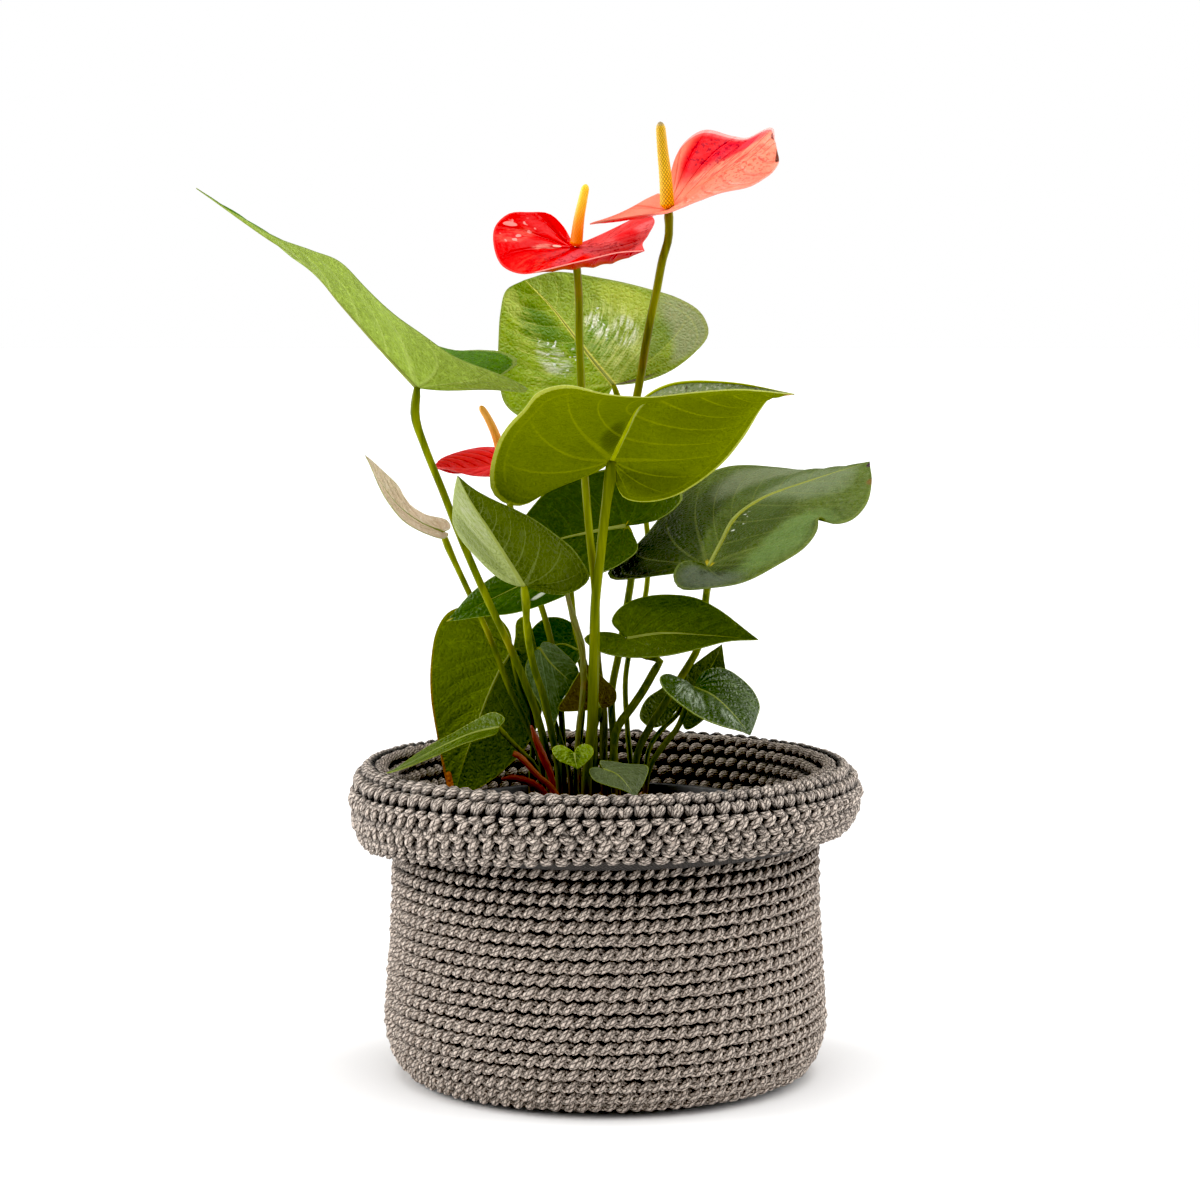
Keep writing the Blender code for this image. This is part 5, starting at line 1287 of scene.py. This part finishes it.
# How each leaf looks: screen colours, and patches as place along and across, half sizes, colour, share and
# grain. Marks are patches that lie over the veins as well.
LEAF_LOOKS = {
    "leaf_far_left": dict(
        upper=(74, 116, 8), lower=(140, 162, 62), lower_vein=(176, 192, 100), rib=(190, 200, 130)),
    "leaf_pale_young": dict(
        upper=(226, 204, 176), lower=(222, 206, 184), rib=(228, 212, 180), rough=0.5, cloud=(190, 176, 130),
        upper_vein=(236, 220, 196)),
    "leaf_back": dict(
        upper=(156, 184, 44), upper_far=(142, 168, 52), upper_vein=(190, 204, 96), mottle=0.8, streaks=0.45,
        lower=(84, 90, 60), rib=(244, 240, 110), cloud=(112, 148, 30), fleck=(192, 208, 100), shine=0.25,
        upper_patches=[
            (0.72, 0.3, 0.14, 0.16, (76, 122, 34), 0.75), (0.8, 0.08, 0.1, 0.1, (196, 214, 100), 0.6),
            (0.6, 0.2, 0.3, 0.1, (194, 208, 96), 0.6, "streak"),
            # The dark patch at 0.32, 0.8 is a painted shadow
            (0.25, 0.94, 0.12, 0.1, (148, 158, 118), 0.75), (0.32, 0.8, 0.06, 0.1, (96, 126, 44), 0.6),
            (0.5, 0.9, 0.14, 0.1, (186, 204, 76), 0.6), (0.56, 0.62, 0.1, 0.12, (92, 138, 34), 0.6),
            (0.6, 0.45, 0.1, 0.05, (88, 134, 30), 0.6),
            (0.5, 0.7, 0.2, 0.2, (206, 218, 130), 0.6, "streak"),
            (0.04, 0.87, 0.08, 0.1, (92, 82, 66), 0.9)],
        # These near-white marks are painted glints
        upper_marks=[
            (0.53, 0.3, 0.1, 0.09, (232, 240, 216), 0.8, "streak"),
            (0.6, 0.68, 0.07, 0.07, (232, 240, 216), 0.9, "streak"),
            (0.46, 0.74, 0.07, 0.08, (222, 232, 206), 0.8, "streak"),
            (0.55, 0.36, 0.14, 0.14, (240, 250, 235), 0.85, "drop"),
            (0.6, 0.7, 0.1, 0.1, (240, 250, 235), 0.85, "drop")]),
    "leaf_front_tall": dict(
        lower=(112, 124, 3), lower_vein=(154, 162, 40), upper=(112, 124, 84), lower_veins=0.4,
        under_rib=(170, 178, 40), margin=(206, 212, 96), cloud=(94, 106, 2), fleck=(128, 138, 12),
        lower_patches=[
            # The dark patch at 0.44, 0.42 is a painted cast shadow of a stem behind the blade
            (0.44, 0.42, 0.07, 0.07, (60, 68, 4), 0.6), (0.64, 0.75, 0.2, 0.16, (92, 102, 5), 0.5),
            (0.2, 0.8, 0.12, 0.2, (74, 84, 3), 0.6)],
        lower_marks=[(0.99, 0.5, 0.03, 0.5, (190, 110, 60), 0.8)],
        upper_marks=[
            (0.7, 0.5, 0.3, 0.5, (176, 176, 150), 0.6, "speck"),
            (0.7, 0.5, 0.3, 0.5, (60, 48, 28), 0.7, "drop")]),
    "leaf_right_large": dict(
        upper=(88, 106, 38), upper_far=(80, 98, 34), upper_vein=(140, 152, 76), lower=(120, 140, 50),
        streaks=0.4, rib=(176, 178, 50), cloud=(44, 58, 12), fleck=(120, 134, 84), slot="leaf_dark",
        mottle=0.8, margin_share=0.25, upper_veins=0.2,
        # Its near-black patches on the near lobe are painted shade; its grey-green patches and pale grey
        # streaks are dust with a painted sheen
        upper_patches=[
            (0.2, 0.88, 0.18, 0.22, (30, 40, 10), 0.9), (0.13, 0.96, 0.08, 0.1, (14, 18, 6), 0.9),
            (0.42, 0.78, 0.14, 0.14, (48, 62, 18), 0.8), (0.3, 0.68, 0.1, 0.12, (40, 54, 12), 0.8),
            (0.62, 0.85, 0.2, 0.14, (128, 138, 104), 0.6), (0.8, 0.45, 0.16, 0.3, (124, 138, 100), 0.7),
            (0.66, 0.68, 0.12, 0.1, (74, 92, 40), 0.6), (0.4, 0.12, 0.2, 0.12, (112, 140, 74), 0.6),
            (0.5, 0.36, 0.16, 0.14, (54, 70, 18), 0.75), (0.62, 0.4, 0.1, 0.1, (80, 98, 44), 0.5),
            (0.13, 0.12, 0.1, 0.14, (104, 114, 98), 0.7), (0.2, 0.2, 0.1, 0.1, (48, 58, 30), 0.8, "streak")],
        # The near-white drop mark is a painted glint
        upper_marks=[
            (0.97, 0.07, 0.03, 0.1, (60, 30, 50), 0.9),
            (0.54, 0.46, 0.06, 0.08, (225, 230, 215), 0.8, "drop"),
            (0.35, 0.5, 0.03, 0.04, (214, 190, 40), 0.9), (0.8, 0.0, 0.03, 0.05, (120, 90, 40), 0.8)]),
    "leaf_front_left": dict(
        upper=(150, 162, 92), upper_far=(70, 84, 2), lower=(110, 130, 30), cloud=(120, 134, 70),
        fleck=(176, 184, 140), mottle=0.25, stipple=0.12, upper_veins=0.12, rib=(196, 200, 130),
        margin_share=0.3,
        upper_patches=[
            (0.7, 0.25, 0.2, 0.2, (178, 182, 146), 0.6, "streak"),
            (0.4, 0.2, 0.15, 0.2, (104, 118, 52), 0.6), (0.5, 0.8, 0.4, 0.18, (84, 98, 8), 0.6),
            (0.15, 0.85, 0.1, 0.14, (60, 72, 4), 0.6)]),
    "leaf_behind_front_left": dict(
        upper=(60, 88, 18), lower=(80, 110, 30), slot="leaf_dark", margin=(160, 180, 80),
        # The near-white mark is a painted glint
        upper_marks=[
            (0.99, 0.5, 0.03, 0.5, (190, 180, 60), 0.8), (0.36, 0.17, 0.03, 0.05, (235, 240, 225), 0.8)]),
    "leaf_dark_middle": dict(
        upper=(60, 80, 4), lower=(60, 90, 20), rib=(108, 126, 36), slot="leaf_dark",
        upper_marks=[(0.31, 0.5, 0.025, 0.05, (206, 180, 50), 0.9)]),
    "leaf_right_middle": dict(upper=(82, 98, 24), lower=(80, 108, 20), slot="leaf_dark"),
    "leaf_right_low_upright": dict(upper=(92, 104, 52), lower=(100, 120, 50)),
    "leaf_right_low_glossy": dict(
        upper=(54, 76, 16), lower=(80, 110, 30), rough=0.3, puff=0.8, shine=0.3, upper_vein=(96, 116, 50),
        net=0.03, cloud=(36, 54, 10), fleck=(92, 112, 56), streaks=0.4,
        # The near-white streak patches are painted highlights
        upper_patches=[
            (0.38, 0.2, 0.14, 0.14, (190, 204, 180), 0.6, "streak"),
            (0.6, 0.12, 0.1, 0.1, (40, 58, 10), 0.6),
            (0.45, 0.85, 0.2, 0.12, (120, 142, 80), 0.5, "streak"),
            (0.75, 0.25, 0.1, 0.14, (200, 212, 190), 0.5, "streak")]),
    "leaf_twisted_centre": dict(
        upper=(96, 116, 72), lower=(100, 118, 70), cloud=(58, 76, 40), fleck=(132, 148, 104), streaks=0.7,
        mottle=0.7, upper_veins=0.5),
    "leaf_hanging_left": dict(
        upper=(102, 118, 14), lower=(110, 130, 20), margin=(150, 150, 40), rib=(150, 170, 50),
        cloud=(84, 98, 8),
        upper_marks=[
            (0.93, 0.0, 0.1, 0.17, (214, 122, 30), 0.95, "crisp"),
            (0.8, 0.0, 0.1, 0.04, (200, 110, 30), 0.7), (0.55, 0.0, 0.3, 0.02, (170, 110, 30), 0.6)]),
    "leaf_rim_left": dict(
        upper=(76, 94, 12), lower=(110, 130, 30), fleck=(110, 128, 50), streaks=0.5, margin=(150, 160, 70)),
    "leaf_small_back": dict(upper=(60, 84, 14), lower=(80, 100, 30), slot="leaf_dark"),
    "leaf_olive_centre": dict(
        upper=(98, 88, 0), lower=(110, 104, 10), rib=(140, 130, 20), slot="leaf_olive"),
    "leaf_tiny_heart": dict(
        upper=(122, 144, 26), lower=(120, 150, 30), cloud=(52, 74, 10), mottle=0.9, fleck=(170, 186, 90),
        net=0.03, margin=(190, 200, 80),
        # Its dark middle patch is painted shade in the cupped heart
        upper_patches=[(0.45, 0.5, 0.4, 0.18, (48, 70, 8), 0.75)]),
    "leaf_low_front": dict(upper=(98, 110, 70), lower=(110, 130, 70), streaks=0.5, fleck=(132, 142, 104)),
}
# The same for blooms: what spathes share, and each one's spathe, spadix and stem
SPATHE_LOOK = dict(veins=0.45, sunk=0.5, puff=0.9)
BLOOM_LOOKS = {
    "centre": dict(
        stem=((134, 142, 26), (96, 98, 16)),
        spathe=dict(
            # The far half's pink, and the pink patches at 0.48, 0.45 and 0.42, 0.8, are partly faded colour
            # and partly painted sheen
            upper=(226, 2, 5), upper_far=(226, 74, 72), lower=(196, 2, 22), cloud=(214, 1, 5), veins=0.12,
            fleck=(234, 28, 26), vein=(176, 2, 12), margin=(244, 84, 76), puff=0.6,
            upper_patches=[
                (0.42, 0.15, 0.1, 0.2, (240, 70, 52), 0.55, "streak"),
                (0.48, 0.45, 0.05, 0.22, (222, 84, 92), 0.8), (0.42, 0.8, 0.08, 0.2, (232, 84, 84), 0.5),
                (0.36, 0.97, 0.04, 0.1, (244, 120, 120), 0.9),
                (0.5, 0.6, 0.3, 0.5, (176, 14, 28), 0.75, "speck"),
                (0.4, 0.82, 0.1, 0.08, (222, 10, 20), 0.8)],
            # Of these marks the first is the pale margin line; the near-white and pale pink ones after it are
            # painted glints
            upper_marks=[
                (0.72, 0.0, 0.3, 0.035, (246, 160, 150), 0.8, "crisp"),
                (0.273, 0.38, 0.012, 0.03, (255, 226, 206), 0.8, "crisp"),
                (0.29, 0.3, 0.03, 0.08, (255, 170, 150), 0.7, "streak"),
                (0.184, 0.05, 0.008, 0.03, (255, 190, 180), 0.6, "crisp"),
                (0.22, 0.1, 0.05, 0.1, (255, 110, 90), 0.5, "streak"),
                (0.2, 0.1, 0.08, 0.08, (255, 200, 190), 0.6, "drop")]),
        spadix=dict(
            foot=(255, 140, 16), tip=(255, 214, 56), seam=(210, 110, 12), seam_share=0.35, relief=0.15)),
    "upper_right": dict(
        stem=((134, 134, 22), (92, 90, 14)),
        spathe=dict(
            # Its salmon ground is partly faded colour and partly painted sheen; the deep red patches on the
            # far half, from 0.86 across, are painted shade in its curled hollow
            upper=(255, 140, 112), lower=(220, 50, 46), cloud=(250, 112, 92), fleck=(255, 176, 150),
            vein=(226, 66, 56), margin=(255, 170, 156), veins=0.25, sunk=0.3, puff=0.4,
            upper_patches=[
                (0.36, 0.86, 0.14, 0.2, (236, 14, 36), 0.95), (0.5, 0.9, 0.12, 0.12, (226, 20, 46), 0.9),
                (0.6, 0.94, 0.1, 0.08, (240, 60, 76), 0.7), (0.5, 0.99, 0.3, 0.03, (255, 120, 120), 0.8),
                (0.7, 0.55, 0.25, 0.06, (214, 96, 50), 0.6, "streak"),
                (0.8, 0.4, 0.25, 0.4, (206, 56, 44), 0.6, "speck"),
                (0.75, 0.75, 0.2, 0.1, (214, 60, 56), 0.6, "streak"),
                (0.5, 0.2, 0.3, 0.2, (255, 178, 160), 0.6, "streak"),
                (0.42, 0.86, 0.18, 0.14, (176, 6, 40), 0.8, "speck"),
                (0.55, 0.7, 0.2, 0.12, (222, 60, 60), 0.6, "streak")],
            upper_marks=[
                (0.8, 0.99, 0.05, 0.05, (96, 36, 30), 0.8, "crisp"),
                (0.95, 0.02, 0.06, 0.05, (80, 40, 30), 0.9, "crisp"),
                (0.5, 1.0, 0.36, 0.02, (255, 190, 184), 0.8, "crisp"),
                (0.26, 0.03, 0.1, 0.06, (196, 60, 40), 0.8), (0.22, 0.05, 0.05, 0.06, (150, 110, 90), 0.8)]),
        spadix=dict(
            foot=(252, 208, 40), tip=(240, 196, 36), seam=(140, 96, 14), seam_share=0.9, relief=0.45,
            cap=(160, 140, 96))),
    "left": dict(
        stem=((122, 130, 24), (86, 90, 14)),
        spathe=dict(
            upper=(234, 58, 60), lower=(192, 34, 38), cloud=(212, 44, 46), fleck=(240, 76, 76),
            vein=(206, 38, 42), margin=(230, 80, 76)),
        spadix=dict(
            foot=(240, 150, 46), tip=(244, 176, 74), seam=(180, 100, 36), seam_share=0.4, relief=0.2)),
}
# Sheaths: two shades of their fibres, and their blotches
SHEATH_LOOKS = {
    "sheath_pointed": dict(light=(120, 126, 44), dark=(92, 88, 30), cloud=(140, 90, 50)),
    "sheath_red": dict(light=(146, 62, 30), dark=(104, 36, 18), cloud=(80, 30, 16)),
    "sheath_low": dict(light=(128, 44, 18), dark=(88, 24, 12), cloud=(62, 18, 10)),
    "stub_dry": dict(light=(158, 84, 46), dark=(120, 58, 30), cloud=(92, 48, 28), rough=0.8),
}
# Cord colours: light, shade, and the painted shade of its hollows
CORD_LOOKS = {
    "cord": ((230, 213, 199), (84, 72, 64), (20, 17, 14)),
    # A darker copy of the cord: painted shade inside and under the basket
    "cord_inner_shaded": ((186, 170, 156), (60, 52, 46), (16, 14, 12)),
    # Near-black painted shade behind the stitches and inside the basket
    "cord_back_shade": ((34, 30, 27), (20, 17, 15), (14, 12, 10)),
    # Near-black painted shade in the gaps between the collar's rows
    "cord_between_shade": ((56, 50, 45), (34, 30, 27), (18, 16, 14)),
}

# The camera's far limit and the floor's half width in metres
CLIP_END = 20
FLOOR_REACH = 30
# Light: the room's own strength, then each soft light's name, strength, breadth, lean and turn
WORLD_STRENGTH = 0.42
BLACK_LEVEL = 0.02
LIGHTS = [("top", 2.1, 50, 8, 20), ("left", 3.2, 60, 74, -100), ("right", 2.3, 60, 74, 105)]


def make_camera():
    """The photograph's viewpoint and frame."""
    lens = bpy.data.cameras.new("camera")
    lens.sensor_width = SENSOR
    lens.lens = LENS
    lens.shift_x = (FRAME_PIXELS / 2 - AXIS_PIXEL) / FRAME_PIXELS
    lens.clip_end = CLIP_END
    camera = bpy.data.objects.new("camera", lens)
    camera.location = (0, -CAMERA_DISTANCE * MM, CAMERA_HEIGHT * MM)
    camera.rotation_euler = (math.pi / 2 - CAMERA_TILT, 0, 0)
    bpy.context.scene.collection.objects.link(camera)
    bpy.context.scene.camera = camera


def make_light(name, strength, breadth, lean, turn):
    """A broad soft light from far away: how far it leans from overhead, and from which side."""
    data = bpy.data.lights.new(name, "SUN")
    data.energy = strength
    data.angle = math.radians(breadth)
    light = bpy.data.objects.new(name, data)
    light.rotation_euler = (math.radians(lean), 0, math.radians(turn))
    bpy.context.scene.collection.objects.link(light)


def make_studio():
    """A pale floor in a bright white room."""
    mesh = bpy.data.meshes.new("floor")
    corners = [(x * FLOOR_REACH, y * FLOOR_REACH, 0) for x, y in ((-1, -1), (1, -1), (1, 1), (-1, 1))]
    mesh.from_pydata(corners, [], [(0, 1, 2, 3)])
    floor = bpy.data.objects.new("floor", mesh)
    bpy.context.scene.collection.objects.link(floor)
    paint = Look("floor")
    mesh.materials.append(paint.finish(srgb(250, 250, 250), 0.9, specular_ior_level=0.2))
    world = bpy.data.worlds.new("studio")
    world.use_nodes = True
    bpy.context.scene.world = world
    nodes, links = world.node_tree.nodes, world.node_tree.links
    sky = nodes["Background"]
    path = nodes.new("ShaderNodeLightPath")
    level = nodes.new("ShaderNodeMapRange")
    level.inputs["To Min"].default_value = WORLD_STRENGTH
    level.inputs["To Max"].default_value = 1.0
    links.new(path.outputs["Is Camera Ray"], level.inputs["Value"])
    links.new(level.outputs[0], sky.inputs["Strength"])
    sky.inputs["Color"].default_value = (1, 1, 1, 1)
    for light in LIGHTS:
        make_light(*light)
    shown = bpy.context.scene.view_settings
    shown.view_transform = "Standard"
    shown.use_curve_mapping = True
    shown.curve_mapping.black_level = (BLACK_LEVEL,) * 3
    shown.curve_mapping.update()


def main():
    make_camera()
    make_studio()
    cord, shaded_inner_cord, dark, between = (cord_look(name, *colours) for name, colours in CORD_LOOKS.items())
    make_body(cord)
    make_collar(cord, between)
    make_inside(shaded_inner_cord, dark)
    make_pot()
    make_soil()
    for name, leaf in LEAVES.items():
        make_leaf(name, leaf, {**LEAF_LOOK, **LEAF_LOOKS[name]})
    for name, bloom in BLOOMS.items():
        look = BLOOM_LOOKS[name]
        make_spathe(f"bloom_{name}_spathe", bloom, {**SPATHE_LOOK, **look["spathe"]})
        make_spadix(f"bloom_{name}_spadix", bloom, look["spadix"])
        make_peduncle(f"bloom_{name}_peduncle", bloom, look["stem"])
    for name, sheath in SHEATHS.items():
        make_sheath(name, sheath, SHEATH_LOOKS[name])


main()
